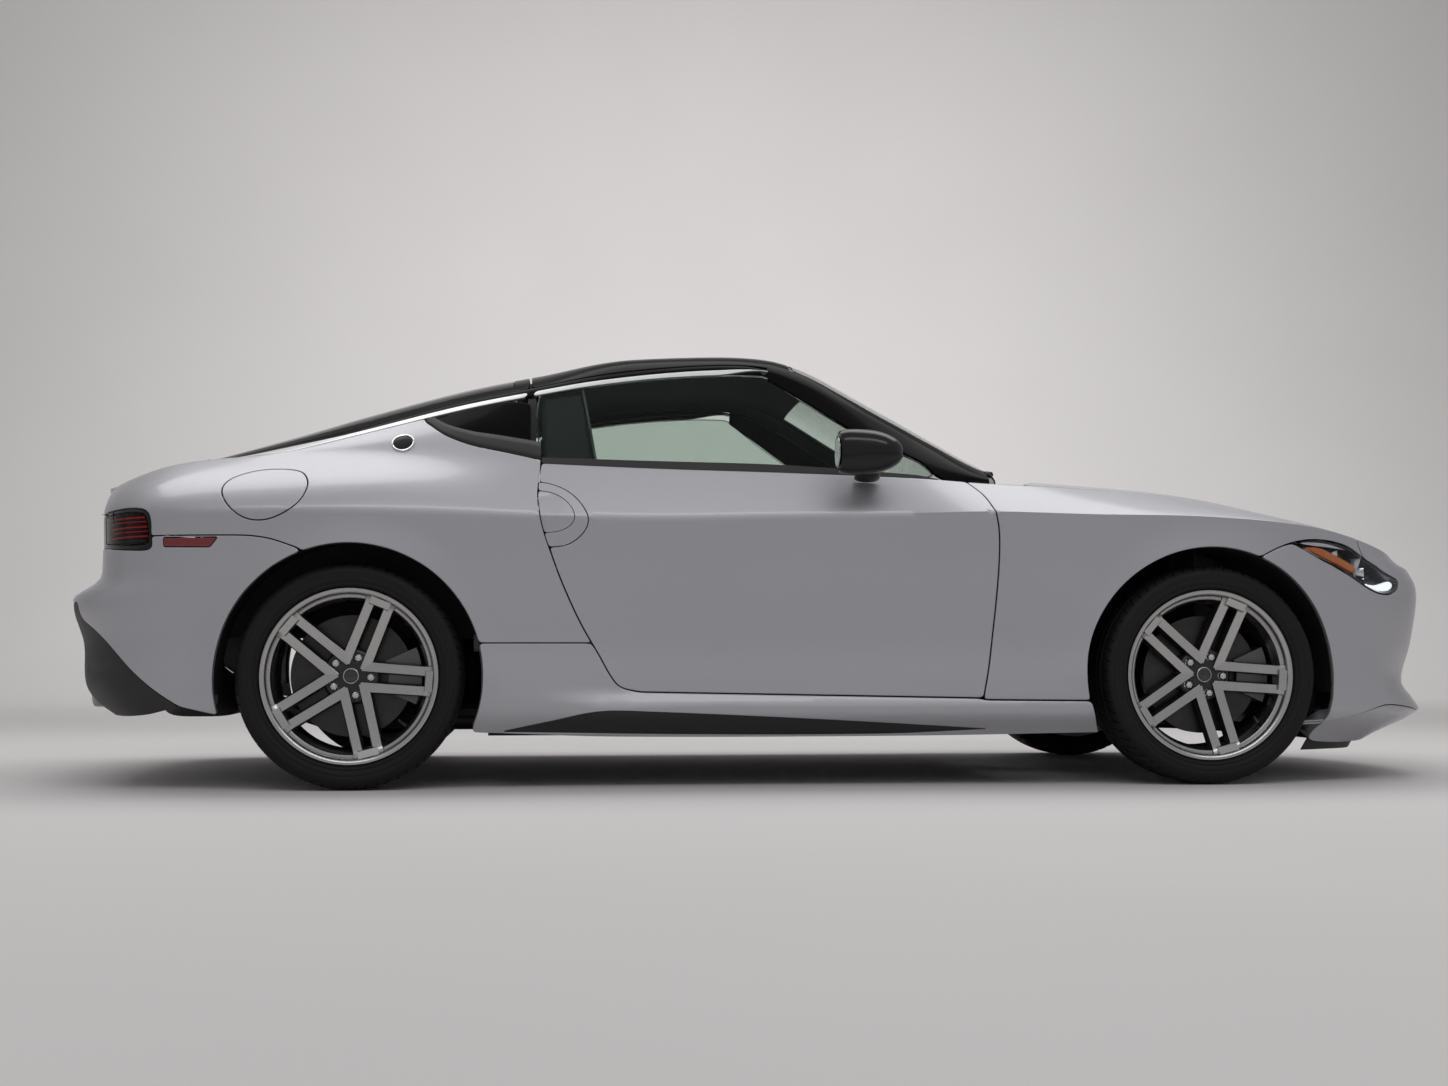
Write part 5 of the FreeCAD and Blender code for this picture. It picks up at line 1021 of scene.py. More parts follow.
guide_grey = finish("guide_grey", (0.11, 0.11, 0.112), 0.38, 0.5, mottle=0.1, grain=0.1, grain_scale=900.0)
guide_w = np.linspace(0.03, 0.92, 18)[:, None]
guide_x = -0.568 - 0.042 * guide_w + np.array([0.0, 0.004, 0.008])
guide = window_side(spread(guide_x, guide_w)) - [0, 0.010, 0]
pair("window_guide_%s", sheet(guide), (guide_grey,), "door_%s", "black_plastic", wall=0.004, flat=60)
post_w = np.linspace(0.02, 0.86, 20)[:, None]
backing_x = -0.725 + (0.163 - 0.042 * post_w) * np.linspace(0, 1, 8)
backing = window_side(spread(backing_x, post_w)) - [0, 0.020, 0]
pair("window_post_trim_%s", sheet(backing), (seal_rubber,), "body", "black_plastic", wall=0.010, flat=50)

# ---------------------------------------------------------------- hood and cowl
# Pressed aluminium lid from the windscreen to the nose, with a faintly raised middle between two soft
# creases. Behind it a black plastic cowl under two wipers closes the gap to the glass.
CROWN_HEIGHTS = np.array([(-2190, 14), (-1794, 10), (-728, 20), (640, 45), (1275, 42), (1600, 38),
                          (2190, 18)]) * 0.001
HOOD_NOSE = 2.045
HOOD_REAR = [(0.744, 0.706), (0.800, 0.560), (0.850, 0.330), (0.868, 0.150), (0.872, 0.0)]


def hood_half(x):
    """Half width of the hood: the top edge of the sides, rounded off at the nose."""
    front = np.clip((x - FRONT_START) / (HOOD_NOSE - FRONT_START), 0, 1)
    return smooth(SIDES, x, 3) * np.sqrt(np.clip(1 - front ** 3.7, 1e-5, 1))


def hood_top(flat):
    """Hood at (x, y): a crown over the sides' top edge, and a low middle plateau that fades forwards."""
    x, y = flat[..., 0], flat[..., 1]
    b = np.clip(np.abs(y) / hood_half(x), 0, 1)
    nose = np.clip((x - FRONT_START) / (HOOD_NOSE - FRONT_START), 0, 1)
    crown = smooth(CROWN_HEIGHTS, x, 1) * (1 - b ** 2 * (0.50 + 0.50 * b ** 2)) * (1 - nose ** 9)
    reach = 0.30 - 0.07 * ease(x, 0.8, 2.0)
    length = ease(x, 0.86, 1.0) * (1 - ease(x, 1.75, 2.0))
    plateau = 0.005 * (1 - ease(np.abs(y), reach, reach + 0.06)) * length
    return np.stack([x, y, levels(x)[1] + crown + plateau], -1)


side_x = np.concatenate([np.linspace(0.744, 1.29, 20),
                         FRONT_START + (HOOD_NOSE - FRONT_START) * np.sin(np.linspace(0, np.pi / 2, 40))])
hood_side = np.stack([side_x, hood_half(side_x)], -1)
hood_side[-1, 1] = 0.0
hood_loop = traced([hood_side, hood_side[::-1] * [1, -1], np.array(HOOD_REAR) * [1, -1],
                    np.array(HOOD_REAR)[::-1]], step=0.010)
weld("hood_skin", skin(hood_top, hood_loop, gap=0.0020, spacing=0.022, depth=0.014), (silver,), "hood",
     "body_paint", ("hood",), wall=0.0011, flat=38)
cowl_rear = np.array([(0.655, 0.712), (0.655, 0.640)] + [(x + 0.012, y) for x, y in SCREEN_FRONT[::-1]])
cowl_front = np.array([(x - 0.010, y) for x, y in HOOD_REAR])
cowl_loop = traced([cowl_rear, cowl_rear[::-1] * [1, -1], [(0.655, -0.712), cowl_front[0] * [1, -1]],
                    cowl_front * [1, -1], cowl_front[::-1], [cowl_front[0], (0.655, 0.712)]], step=0.010)

cowl_plastic = finish("cowl_plastic", (0.014, 0.014, 0.015), 0.55, grain=0.5, grain_scale=520.0)
weld("cowl_panel", skin(lambda flat: hood_top(flat) - [0, 0, 0.010], cowl_loop, gap=0.0015, spacing=0.02,
                        depth=0.018),
     (cowl_plastic,), "body", "black_plastic", ("cowl",), wall=0.0020, flat=38)
WIPER = np.array([(0.715, -0.42), (0.687, -0.30), (0.693, -0.12), (0.717, 0.06), (0.725, 0.16)])
wiper_at = np.linspace(0, 4, 30)
wiper_ring = turns(10)
for number, shift in ((1, 0.0), (2, 0.46)):
    run = np.stack([np.interp(wiper_at, range(5), WIPER[:, 0]),
                    np.interp(wiper_at, range(5), WIPER[:, 1]) + shift], -1)
    middle = roof_top(run) + [0, 0, 0.012]
    bar = middle[:, None] + spread(0.007 * np.cos(wiper_ring), 0, 0.009 * np.sin(wiper_ring))
    weld("wiper_%d" % number, [carried(bar)], (cowl_plastic,), "body", "black_plastic", shut=True, flat=50)

# ---------------------------------------------------------------- front bumper, grille and lip
# Moulded plastic nose from arch to arch, painted with the body, round a wide mouth with dark bars. The
# lip under it is painted too, and a black air dam hangs behind the lip.


def about(run, middle):
    """Outline points followed by their mirror images on the other side of the middle."""
    run = np.asarray(run, float)
    return np.concatenate([run, (run * [-1, 1] + [2 * middle, 0])[::-1]])


nose_arch = to_skin(arch_run("front", -22.0, 67.6))
NOSE_FOOT = [(1.5212, 0.1804), (1.6387, 0.1855), (1.7311, 0.2027), (1.8843, 0.2340), (2.0300, 0.2280),
             (2.1825, 0.2103), (2.4000, 0.2050), (NOSE_MIDDLE, 0.2040)]
nose_side = np.concatenate([level_run([(FENDER_NOSE, BELT), (FENDER_NOSE, 0.704)]),
                            level_run([p for p in LAMP_TOP if p[0] > FENDER_NOSE]), level_run(LAMP_END)[1:],
                            level_run(LAMP_FOOT)[1:],
                            level_run([(1.5448, 0.7343), (1.4957, 0.7176), (1.4577, 0.6994)])[1:],
                            level_run(nose_arch[::-1]), level_run([nose_arch[0], (1.5212, 0.1804)])[1:],
                            level_run(NOSE_FOOT)])
nose_loop = traced([about(nose_side, NOSE_MIDDLE),
                    [(2 * NOSE_MIDDLE - FENDER_NOSE, BELT), (FENDER_NOSE, BELT)]], step=0.009)
mouth_half = level_run([(2.250, 0.300), (2.235, 0.480), (2.262, 0.540), (2.330, 0.556),
                        (NOSE_MIDDLE, 0.560)])
mouth_foot = level_run([(NOSE_MIDDLE, 0.252), (2.330, 0.250), (2.270, 0.262), (2.250, 0.300)])
mouth_loop = traced([about(mouth_half, NOSE_MIDDLE), about(mouth_foot[::-1], NOSE_MIDDLE)[::-1]], step=0.009)
weld("nose_panel", skin(flank, nose_loop, (mouth_loop,), gap=0.0016, spacing=0.018, depth=0.014), (silver,),
     "body", "body_paint", ("front_bumper",), wall=0.0025, flat=38)


def below(surface, distance):
    """The surface moved inwards, square to itself, by a distance."""
    def inner(flat):
        points, du, dv = slopes(surface, flat)
        out = np.cross(du, dv)
        out /= np.linalg.norm(out, axis=-1, keepdims=True)
        away = points - np.array([0.0, 0.0, 0.45])
        away[..., 0] -= np.clip(points[..., 0], -1.2, 1.2)
        return points - distance * out * np.sign((out * away).sum(-1, keepdims=True))
    return inner


mouth_black = finish("mouth_black", (0.010, 0.010, 0.011), 0.34, mottle=0.1, Coat_Weight=0.4,
                     Coat_Roughness=0.1)
BARS_START, BAR_DEPTH = 2.262, 0.020
ACROSS = ((-0.0045, 0.0), (-0.0027, -0.004), (0.0027, -0.004), (0.0045, 0.0), (0.0045, 0.016),
          (-0.0045, 0.016))
UPRIGHT = ((-0.002, 0.006), (0.002, 0.006), (0.002, 0.018), (-0.002, 0.018))      # side step, depth
bars = []
bar_run = np.linspace(BARS_START, 2 * NOSE_MIDDLE - BARS_START, 90)
for level in np.arange(0.275, 0.555, 0.0285):
    rings = [below(flank, BAR_DEPTH + deep)(spread(bar_run, level + rise)) for rise, deep in ACROSS]
    bars.append(carried(np.stack(rings, 1)))
upright_level = np.linspace(0.262, 0.552, 14)
for place in np.linspace(BARS_START, 2 * NOSE_MIDDLE - BARS_START, 44):
    rings = [below(flank, BAR_DEPTH + deep)(spread(place + step, upright_level)) for step, deep in UPRIGHT]
    bars.append(carried(np.stack(rings, 1)))
weld("grille_bars", bars, (mouth_black,), "body", "black_plastic", ("grille",), shut=True, flat=40)
back = below(flank, 0.060)(spread(np.linspace(2.20, 2 * NOSE_MIDDLE - 2.20, 60)[:, None],
                                  np.linspace(0.235, 0.575, 14)))
weld("grille_backing", sheet(back), (cowl_plastic,), "body", "black_plastic", wall=0.003)
LIP_FOOT = [(1.640, 0.1840), (1.690, 0.1350), (1.800, 0.1200), (2.000, 0.1160), (NOSE_MIDDLE, 0.1160)]
lip_loop = traced([about(level_run(LIP_FOOT), NOSE_MIDDLE),
                   about(level_run([(1.640, 0.1850)] + NOSE_FOOT[2:]), NOSE_MIDDLE)[::-1]], step=0.012)


def chin(flat):
    """Body side drawn in towards the ground, so that the lip leans back under the nose."""
    points = below(flank, 0.004)(flat)
    points[..., 0] -= 0.055 * ease(flat[..., 1], 0.205, 0.116)
    return points


weld("splitter_lip", skin(chin, lip_loop, gap=0.0004, spacing=0.02, depth=0.05, radius=0.002), (silver,),
     "body", "body_paint", ("front_splitter",), wall=0.0025, flat=38)
dam_run = np.linspace(1.760, 2 * NOSE_MIDDLE - 1.760, 120)[:, None]
dam_level = np.array([0.130, 0.110, 0.098, 0.092])
dam = below(flank, 0.030)(spread(dam_run, 0 * dam_level + 0.1135))
dam[..., 0] -= 0.070 + 0.6 * (0.1135 - dam_level)
dam[..., 2] = dam_level + 0.006 * ease(np.abs(dam_run - NOSE_MIDDLE), 0.35, 0.80)
weld("air_dam", sheet(dam), (cowl_plastic,), "body", "black_plastic", wall=0.004, edge=0.001, flat=50)

# ---------------------------------------------------------------- headlights
# Clear plastic lens over a dark housing: two projectors in bright rings, an amber side strip along the
# foot and a light pipe at the front end.
lamp_loop = traced([LAMP_TOP, LAMP_END, LAMP_FOOT], step=0.006, soften=2)
lamp_clear = glazing("lamp_clear", (0.93, 0.94, 0.95))
lamp_dark = finish("lamp_dark", (0.020, 0.020, 0.022), 0.28, 0.3, mottle=0.15, grain=0.2, grain_scale=500.0)
lamp_chrome = finish("lamp_chrome", (0.70, 0.70, 0.72), 0.12, 1.0, mottle=0.05)
amber = finish("amber_lens", (0.36, 0.085, 0.008), 0.22, mottle=0.12, mottle_scale=120.0, grain=0.5,
               grain_scale=320.0, Coat_Weight=1.0, Coat_Roughness=0.04,
               Emission_Color=(1.0, 0.25, 0.02, 1.0), Emission_Strength=0.10)
led_white = finish("led_white", (0.85, 0.86, 0.88), 0.2, mottle=0.03, Coat_Weight=1.0,
                   Emission_Color=(0.9, 0.95, 1.0, 1.0), Emission_Strength=0.9)
amber_loop = traced([[(1.585, 0.7210), (1.650, 0.7260), (1.695, 0.7110), (1.745, 0.6860), (1.778, 0.6640)],
                     [(1.778, 0.6640), (1.786, 0.6480), (1.775, 0.6340)],
                     [(1.775, 0.6340), (1.735, 0.6520), (1.680, 0.6790), (1.625, 0.7065), (1.585, 0.7210)]],
                    step=0.006)
led_loop = traced([[(1.800, 0.6050), (1.850, 0.6000), (1.900, 0.6080), (1.945, 0.6160), (1.962, 0.6060)],
                   [(1.962, 0.6060), (1.950, 0.5930), (1.912, 0.5830), (1.855, 0.5850), (1.800, 0.6050)]],
                  step=0.006)
sweep_loop = traced([[(1.560, 0.7360), (1.620, 0.7440), (1.700, 0.7460), (1.770, 0.7350)],
                     [(1.770, 0.7350), (1.700, 0.7330), (1.620, 0.7320), (1.560, 0.7360)]], step=0.006)
lamp_rim = shrunk(flank, lamp_loop, 0.0035)
WALLS = ((0.004, 0.0), (0.006, 0.003), (0.030, 0.006), (0.048, 0.010))          # depth, step inwards
housing = [closed(np.array([below(flank, depth)(shrunk(flank, lamp_rim, step)) for depth, step in WALLS]))]
housing += skin(below(flank, 0.048), shrunk(flank, lamp_rim, 0.010), gap=0.0, spacing=0.012, depth=0.004,
                radius=0.0004)
housing += skin(below(flank, 0.014), amber_loop, gap=0.0, spacing=0.01, depth=0.010, radius=0.002, mark=2)
housing += skin(below(flank, 0.012), led_loop, gap=0.0, spacing=0.01, depth=0.012, radius=0.003, mark=3)
housing += skin(below(flank, 0.012), sweep_loop, gap=0.0, spacing=0.01, depth=0.014, radius=0.001, mark=1)
PROJECTOR = np.array([(0.0004, 0.86), (0.25, 0.82), (0.5, 0.70), (0.72, 0.50), (0.86, 0.26), (0.90, 0.10),
                      (0.98, 0.14), (1.10, 0.22), (1.16, 0.20), (1.16, -0.6)])
facing = np.array([0.92, 0.34, 0.05])
facing /= np.linalg.norm(facing)
side_way = np.cross(facing, [0, 0, 1])
side_way /= np.linalg.norm(side_way)
up_way = np.cross(side_way, facing)
turn = turns(40)[:, None, None]
for run, level, size in ((1.846, 0.6450, 0.027), (1.742, 0.7120, 0.019)):
    spot = below(flank, 0.046)(np.array([[run, level]]))[0]
    lens = PROJECTOR * size
    shape = (spot + lens[:, :1] * (np.cos(turn) * side_way + np.sin(turn) * up_way)
             + (lens[:, 1:] + 0.004) * facing)
    quads = quilt(shape, around=True)
    ring = quads[:, 0] % len(lens) >= 5
    housing += [(shape, quads[ring], 1), (shape, quads[~ring], 4)]
pair("headlight_lens_%s", skin(flank, lamp_loop, gap=0.0012, spacing=0.012, depth=0.012), (lamp_clear,),
     "body", "lamp_lens", ("headlights",), wall=0.0025, flat=38)
pair("headlight_inside_%s", housing, (lamp_dark, lamp_chrome, amber, led_white, lamp_clear), "body",
     "black_plastic", flat=38)

# ---------------------------------------------------------------- side skirts
# Long plastic sills under the doors, painted, with a black wedge let into the lower face. A dark strap
# behind the skin closes the seam between each sill and the rear quarter.
skirt_rear = to_skin(arch_run("rear", -23.0, 14.5))
skirt_front = to_skin(arch_run("front", 191.4, 207.0))
SKIRT_FOOT = [(skirt_rear[0][0], 0.1640), (-0.50, 0.1480), (0.40, 0.1470), (skirt_front[-1][0], 0.1560)]
WEDGE = [[(-0.840, 0.1660), (-0.700, 0.1950), (-0.555, 0.2240), (-0.400, 0.2220), (0.100, 0.1980),
          (0.600, 0.1680)],
         [(0.600, 0.1680), (0.300, 0.1560), (-0.300, 0.1560), (-0.840, 0.1660)]]
wedge_loop = traced(WEDGE, step=0.009)
skirt_loop = traced([[(-0.9047, 0.4237), (-0.5776, 0.4237)], rear_edge(0.4237, 0.2809, 20),
                     [(-0.4376, 0.2809), (0.582, 0.2605)], [(0.582, 0.2555), skirt_front[0]], skirt_front,
                     [skirt_front[-1], SKIRT_FOOT[-1]], SKIRT_FOOT[::-1], [SKIRT_FOOT[0], skirt_rear[0]],
                     skirt_rear],
                    step=0.008)


def sill(flat):
    """Body side with a crease below the door and the lower face leaning in under it."""
    points = flank(flat)
    z = flat[..., 1]
    lean = ease(z, 0.290, 0.224) * (1 - ease(z, 0.215, 0.150))
    points[..., 1] += 0.020 * lean * ease(flat[..., 0], -0.80, -0.50)
    return points


pair("sill_cover_%s", skin(sill, skirt_loop, (wedge_loop,), gap=0.0016, depth=0.020), (silver,), "body",
     "body_paint", ("side_skirt_%s",), wall=0.0022, flat=38)
behind = below(flank, 0.017)(spread(np.linspace(-0.918, -0.560, 24)[:, None], np.linspace(0.400, 0.448, 5)))
pair("seam_strap_%s", sheet(behind), (cowl_plastic,), "body", "black_plastic", wall=0.002, flat=50)
pair("sill_wedge_%s", skin(below(sill, 0.004), wedge_loop, gap=-0.002, spacing=0.014, depth=0.012),
     (cowl_plastic,), "body", "black_plastic", wall=0.0022, flat=38)

# ---------------------------------------------------------------- rear bumper, diffuser and tail lamps
# Painted plastic tail with a shelf under the lamps, a black ribbed diffuser with the exhaust tips, and
# smoked lamps with red light lines joined by a black band.


def mirrored(loop):
    """Closed outline mirrored to the other side of the tail."""
    return (loop * [-1, 1] + [2 * TAIL_MIDDLE, 0])[::-1]


tail_arch = to_skin(arch_run("rear", 110.7, 197.0))
DIFFUSER_TOP = [(-1.7867, 0.2418), (-1.9400, 0.3500), (-2.0985, 0.4616), (-2.1682, 0.4974),
                (-2.1884, 0.5420), (-2.2600, 0.5480), (TAIL_MIDDLE, 0.5480)]
LAMP_FOOT_REAR = [(-1.9115, 0.7295), (-1.9059, 0.6954), (-2.0162, 0.6920), (-2.2357, 0.7047),
                  (TAIL_MIDDLE, 0.7080)]
tail_side = np.concatenate([level_run(LAMP_FOOT_REAR)[::-1], level_run(REAR_SEAM)[::-1][1:],
                            level_run(tail_arch), level_run([tail_arch[-1], (-1.7867, 0.2418)])[1:],
                            level_run(DIFFUSER_TOP[:5]), level_run(DIFFUSER_TOP[4:])[1:]])
tail_loop = traced([about(tail_side, TAIL_MIDDLE)], step=0.009)
marker_loop = traced([[(-1.8601, 0.7240), (-1.6700, 0.7240)], [(-1.6700, 0.7240), (-1.6950, 0.6970)],
                      [(-1.6950, 0.6970), (-1.8591, 0.6985)], [(-1.8591, 0.6985), (-1.8601, 0.7240)]],
                     step=0.006, soften=1)
marker_other = mirrored(marker_loop)
weld("tail_panel", skin(flank, tail_loop, (marker_loop, marker_other), gap=0.0016, spacing=0.018,
                        depth=0.014),
     (silver,), "body", "body_paint", ("rear_bumper",), wall=0.0025, flat=38)
red_marker = finish("red_marker", (0.17, 0.004, 0.008), 0.25, mottle=0.15, mottle_scale=90.0, grain=0.5,
                    grain_scale=260.0, Coat_Weight=1.0, Coat_Roughness=0.04)
pair("side_marker_%s", skin(below(flank, 0.0005), marker_loop, gap=0.0012, spacing=0.01, depth=0.012),
     (red_marker,), "body", "tail_lens", wall=0.002, flat=38)


def tip_circle(y, z, radius):
    """Round hole in the tail, centred at (y, z), as (run, level) places."""
    turn = turns(40)
    across, level = y + radius * np.cos(turn), z + radius * np.sin(turn)
    half = smooth(SIDES, -2.06 + 0 * level, 1) - smooth(RINGS[:10], level, 3)
    return np.stack([tail_run(across, half), level], -1)


TIP_Y, TIP_Z, TIP_ROOM = 0.450, 0.282, 0.056
near_tip = tip_circle(TIP_Y, TIP_Z, TIP_ROOM)
DIFFUSER_FOOT = [(-1.7867, 0.2400), (-1.9500, 0.2150), (-2.1500, 0.2060), (TAIL_MIDDLE, 0.2060)]
diffuser_side = np.concatenate([level_run(DIFFUSER_TOP)[::-1], level_run(DIFFUSER_FOOT)[1:]])
diffuser_loop = traced([about(diffuser_side, TAIL_MIDDLE)], step=0.010)


def ribbed(flat):
    """Tail surface set in a little, with upright fins in its middle and a groove round its lower lip."""
    points = below(flank, 0.004)(flat)
    y = points[..., 1]
    fins = 0.020 * np.clip(np.cos(y * np.pi / 0.085), 0, 1) ** 6 * (1 - ease(np.abs(y), 0.30, 0.34))
    hollow = 0.030 * (1 - ease(np.abs(y), 0.33, 0.37)) * ease(flat[..., 1], 0.44, 0.40)
    groove = 0.008 * (1 - ease(np.abs(flat[..., 1] - 0.345), 0.004, 0.010)) * ease(np.abs(y), 0.60, 0.64)
    points[..., 0] += hollow - fins * ease(flat[..., 1], 0.44, 0.40) + groove
    return points


if (near_tip[:, 0] * np.roll(near_tip[:, 1], -1) - near_tip[:, 1] * np.roll(near_tip[:, 0], -1)).sum() < 0:
    near_tip = near_tip[::-1]
weld("diffuser_panel", skin(ribbed, diffuser_loop, (near_tip, mirrored(near_tip)), gap=0.0010, spacing=0.014,
                            depth=0.014),
     (cowl_plastic,), "body", "black_plastic", ("rear_diffuser",), wall=0.0022, flat=38)
tip_chrome = finish("tip_chrome", (0.45, 0.45, 0.46), 0.2, 1.0, mottle=0.1, grain=0.1, grain_scale=800.0)
muffler_s = np.linspace(0, 1, 16)[:, None]
muffler_turn = turns(64)
muffler_end = np.clip(1 - np.abs(2 * muffler_s - 1) ** 12, 0, 1) ** 0.25
muffler_round = (np.abs(np.cos(muffler_turn)) ** 4 + np.abs(np.sin(muffler_turn)) ** 4) ** -0.25
muffler = spread(-1.765 + 0.118 * muffler_round * np.cos(muffler_turn) * (0.5 + 0.5 * muffler_end),
                 -0.470 + 0.940 * muffler_s,
                 0.258 + 0.062 * muffler_round * np.sin(muffler_turn) * (0.5 + 0.5 * muffler_end))
pipe_turn = turns(24)
PIPE = [(0.980, 0.0, 0.200), (0.960, 0.0, 0.178), (0.900, 0.0, 0.168), (-0.300, 0.0, 0.168),
        (-1.000, 0.0, 0.168), (-1.450, 0.0, 0.178), (-1.560, 0.0, 0.215), (-1.680, 0.0, 0.250)]
exhaust = [carried(muffler),
           closed(np.array(PIPE)[:, None] + 0.031 * spread(0, np.cos(pipe_turn), np.sin(pipe_turn)))]
TAIL_PIPE = np.array([(-1.850, 0.266), (-1.900, 0.276), (-2.010, 0.282), (-2.062, 0.282)])
for sign in (1, -1):
    exhaust.append(closed(spread(TAIL_PIPE[:, :1], sign * TIP_Y + 0.040 * np.cos(pipe_turn),
                                 TAIL_PIPE[:, 1:] + 0.040 * np.sin(pipe_turn))))
weld("exhaust_line", exhaust, (pipe_steel,), "body", "steel_pipe", ("exhaust_system",), shut=True, flat=40)
TIP_PROFILE = [(0.0440, -2.010), (0.0445, -2.066), (0.0465, -2.0745), (0.0500, -2.0755), (0.0520, -2.070),
               (0.0522, -2.054), (0.0490, -2.020)]
tip_ring, tip_faces, _ = lathe(TIP_PROFILE, 64, loop=False)
for side, sign in BOTH:
    tip = tip_ring[..., [1, 0, 2]] + [0, sign * TIP_Y, TIP_Z]
    weld("exhaust_trim_" + side, [(tip, tip_faces[:, ::-1], 0)], (tip_chrome,), "body", "steel_pipe",
         flat=35)

lamp_side = np.concatenate([level_run([(TAIL_MIDDLE, 0.8030), (-2.2500, 0.8070)]),
                            level_run(LAMP_FRONT[::-1])[1:], level_run(LAMP_FOOT_REAR)[1:]])
band_loop = traced([about(lamp_side, TAIL_MIDDLE)], step=0.009)
lens_half = level_run([(-1.9250, 0.7600), (-1.9370, 0.7890), (-1.9800, 0.8010), (-2.1000, 0.8010),
                       (-2.2150, 0.7960)])
lens_foot = level_run([(-2.2150, 0.7180), (-2.1000, 0.7090), (-1.9300, 0.7070), (-1.9210, 0.7250),
                       (-1.9250, 0.7600)])
lens_loop = traced([lens_half, [(-2.2150, 0.7960), (-2.2150, 0.7180)], lens_foot], step=0.006, soften=2)
weld("tail_band", skin(below(flank, 0.003), band_loop, (lens_loop, mirrored(lens_loop)), gap=0.0010,
                       spacing=0.014, depth=0.02),
     (black_gloss,), "body", "tail_lens", ("tail_light_band",), wall=0.0022, flat=38)
smoked = glazing("smoked_lens", (0.24, 0.20, 0.21))
red_light = finish("red_light", (0.50, 0.010, 0.015), 0.3, mottle=0.2, mottle_scale=60.0, Coat_Weight=1.0,
                   Emission_Color=(1.0, 0.03, 0.04, 1.0), Emission_Strength=0.55)
pale_light = finish("pale_light", (0.55, 0.50, 0.50), 0.25, 0.3, mottle=0.2, mottle_scale=150.0,
                    Coat_Weight=1.0)
pair("tail_lamp_lens_%s", skin(below(flank, 0.004), lens_loop, gap=0.0008, spacing=0.014, depth=0.010),
     (smoked,), "body", "tail_lens", wall=0.0022, flat=38)
lens_rim = shrunk(flank, lens_loop, 0.002)
inside = [closed(np.array([below(flank, depth)(lens_rim) for depth in (0.008, 0.030, 0.048)]))]
inside += skin(below(flank, 0.048), lens_rim, gap=0.0, spacing=0.014, depth=0.004, radius=0.0004)
LIGHT_LINES = ((0.784, 0.0022, -2.200, 1, 0.014), (0.772, 0.0014, -2.190, 1, 0.016),
               (0.757, 0.0022, -2.190, 1, 0.018), (0.744, 0.0014, -2.180, 1, 0.018),
               (0.730, 0.0022, -2.190, 1, 0.018), (0.716, 0.0036, -2.200, 2, 0.014))
for level, tall, start, mark, depth in LIGHT_LINES:
    run = np.linspace(start, -1.940, 34)
    rows = [below(flank, depth - tall * np.cos(turn))(spread(run, level + tall * np.sin(turn)))
            for turn in turns(8)]
    inside.append(marked(carried(np.stack(rows, 1)), mark))
pair("tail_lamp_inside_%s", inside, (lamp_dark, red_light, pale_light), "body", "tail_lens", flat=38)

# ---------------------------------------------------------------- wheel arch liners
# Thin moulded shells of black felted plastic over each wheel, from the arch's edge inwards.
liner_felt = finish("liner_felt", (0.0065, 0.0065, 0.0065), 0.9, grain=0.7, grain_scale=300.0)
liner_turn = np.radians(np.linspace(-8, 188, 60))[:, None]
LINER = np.array([(0.3835, 0.880), (0.3850, 0.872), (0.3930, 0.868), (0.3950, 0.700), (0.3935, 0.640)])
for axle, hub in AXLES.items():
    arch_edge = np.hstack([hub + 0.385 * np.cos(liner_turn), HUB_Z + 0.385 * np.sin(liner_turn)])
    reach = flank(to_skin(arch_edge))
    edge_in = np.minimum(reach[:, 1:2] - 0.016, 0.895) - 0.880
    grid = spread(hub + LINER[:, 0] * np.cos(liner_turn), LINER[:, 1] + edge_in * [1, 1, 1, 0, 0],
                  HUB_Z + LINER[:, 0] * np.sin(liner_turn))
    pair("arch_liner_" + axle + "_%s", sheet(grid), (liner_felt,), "body", "black_plastic", wall=0.002,
         flat=50)

# ---------------------------------------------------------------- door mirrors
# Oval heads in black gloss shells on slim feet, with a seam round the cap and silvered glass behind.
MIRROR_X, MIRROR_Z = 0.228, 0.984
turn = turns(48)
share = np.linspace(-1, 1, 25)[:, None]
width = np.clip(1 - np.abs(share) ** 2.6, 0, 1) ** 0.5
swell = np.sign(np.cos(turn)) * np.abs(np.cos(turn)) ** 0.80
rise = np.sign(np.sin(turn)) * np.abs(np.sin(turn)) ** 0.80
front_reach = np.where(np.cos(turn) > 0, 0.104, 0.125)
seam_dip = 1 - 0.010 * (np.abs(share - 0.10) < 0.05)
head = spread(MIRROR_X + front_reach * swell * width * seam_dip - 0.006 * share, 0.9225 + 0.0605 * share,
              MIRROR_Z + 0.065 * rise * width * seam_dip * (1 - 0.22 * np.cos(turn)))
head[..., 0] = np.maximum(head[..., 0], 0.141 + 0.008 * (1 - width))
mirror_glass = finish("mirror_glass", (0.60, 0.63, 0.66), 0.04, 1.0, mottle=0.02, mottle_scale=2.0)
foot_share = np.linspace(0, 1, 12)[:, None]
foot_turn = turns(20)
foot = spread(0.245 - 0.006 * foot_share + (0.040 - 0.012 * foot_share) * np.cos(foot_turn),
              0.802 + 0.100 * foot_share ** 0.9,
              0.918 + 0.050 * foot_share ** 1.5 + (0.014 - 0.004 * foot_share) * np.sin(foot_turn))
glass_turn = turns(40)
glass_r = np.linspace(0.02, 1, 8)[:, None]
pane = spread(0.1385, 0.9225 + 0.049 * glass_r * np.cos(glass_turn),
              MIRROR_Z + 0.046 * glass_r * np.sin(glass_turn))
pair("mirror_head_%s", [carried(head)], (black_gloss,), "door_%s", "black_paint", ("mirror_%s",), shut=True,
     flat=35)
pair("mirror_foot_%s", [carried(foot)], (black_gloss,), "door_%s", "black_paint", shut=True, flat=35)
pair("mirror_pane_%s", [closed(pane)], (mirror_glass,), "door_%s", None, wall=0.0015, flat=35)

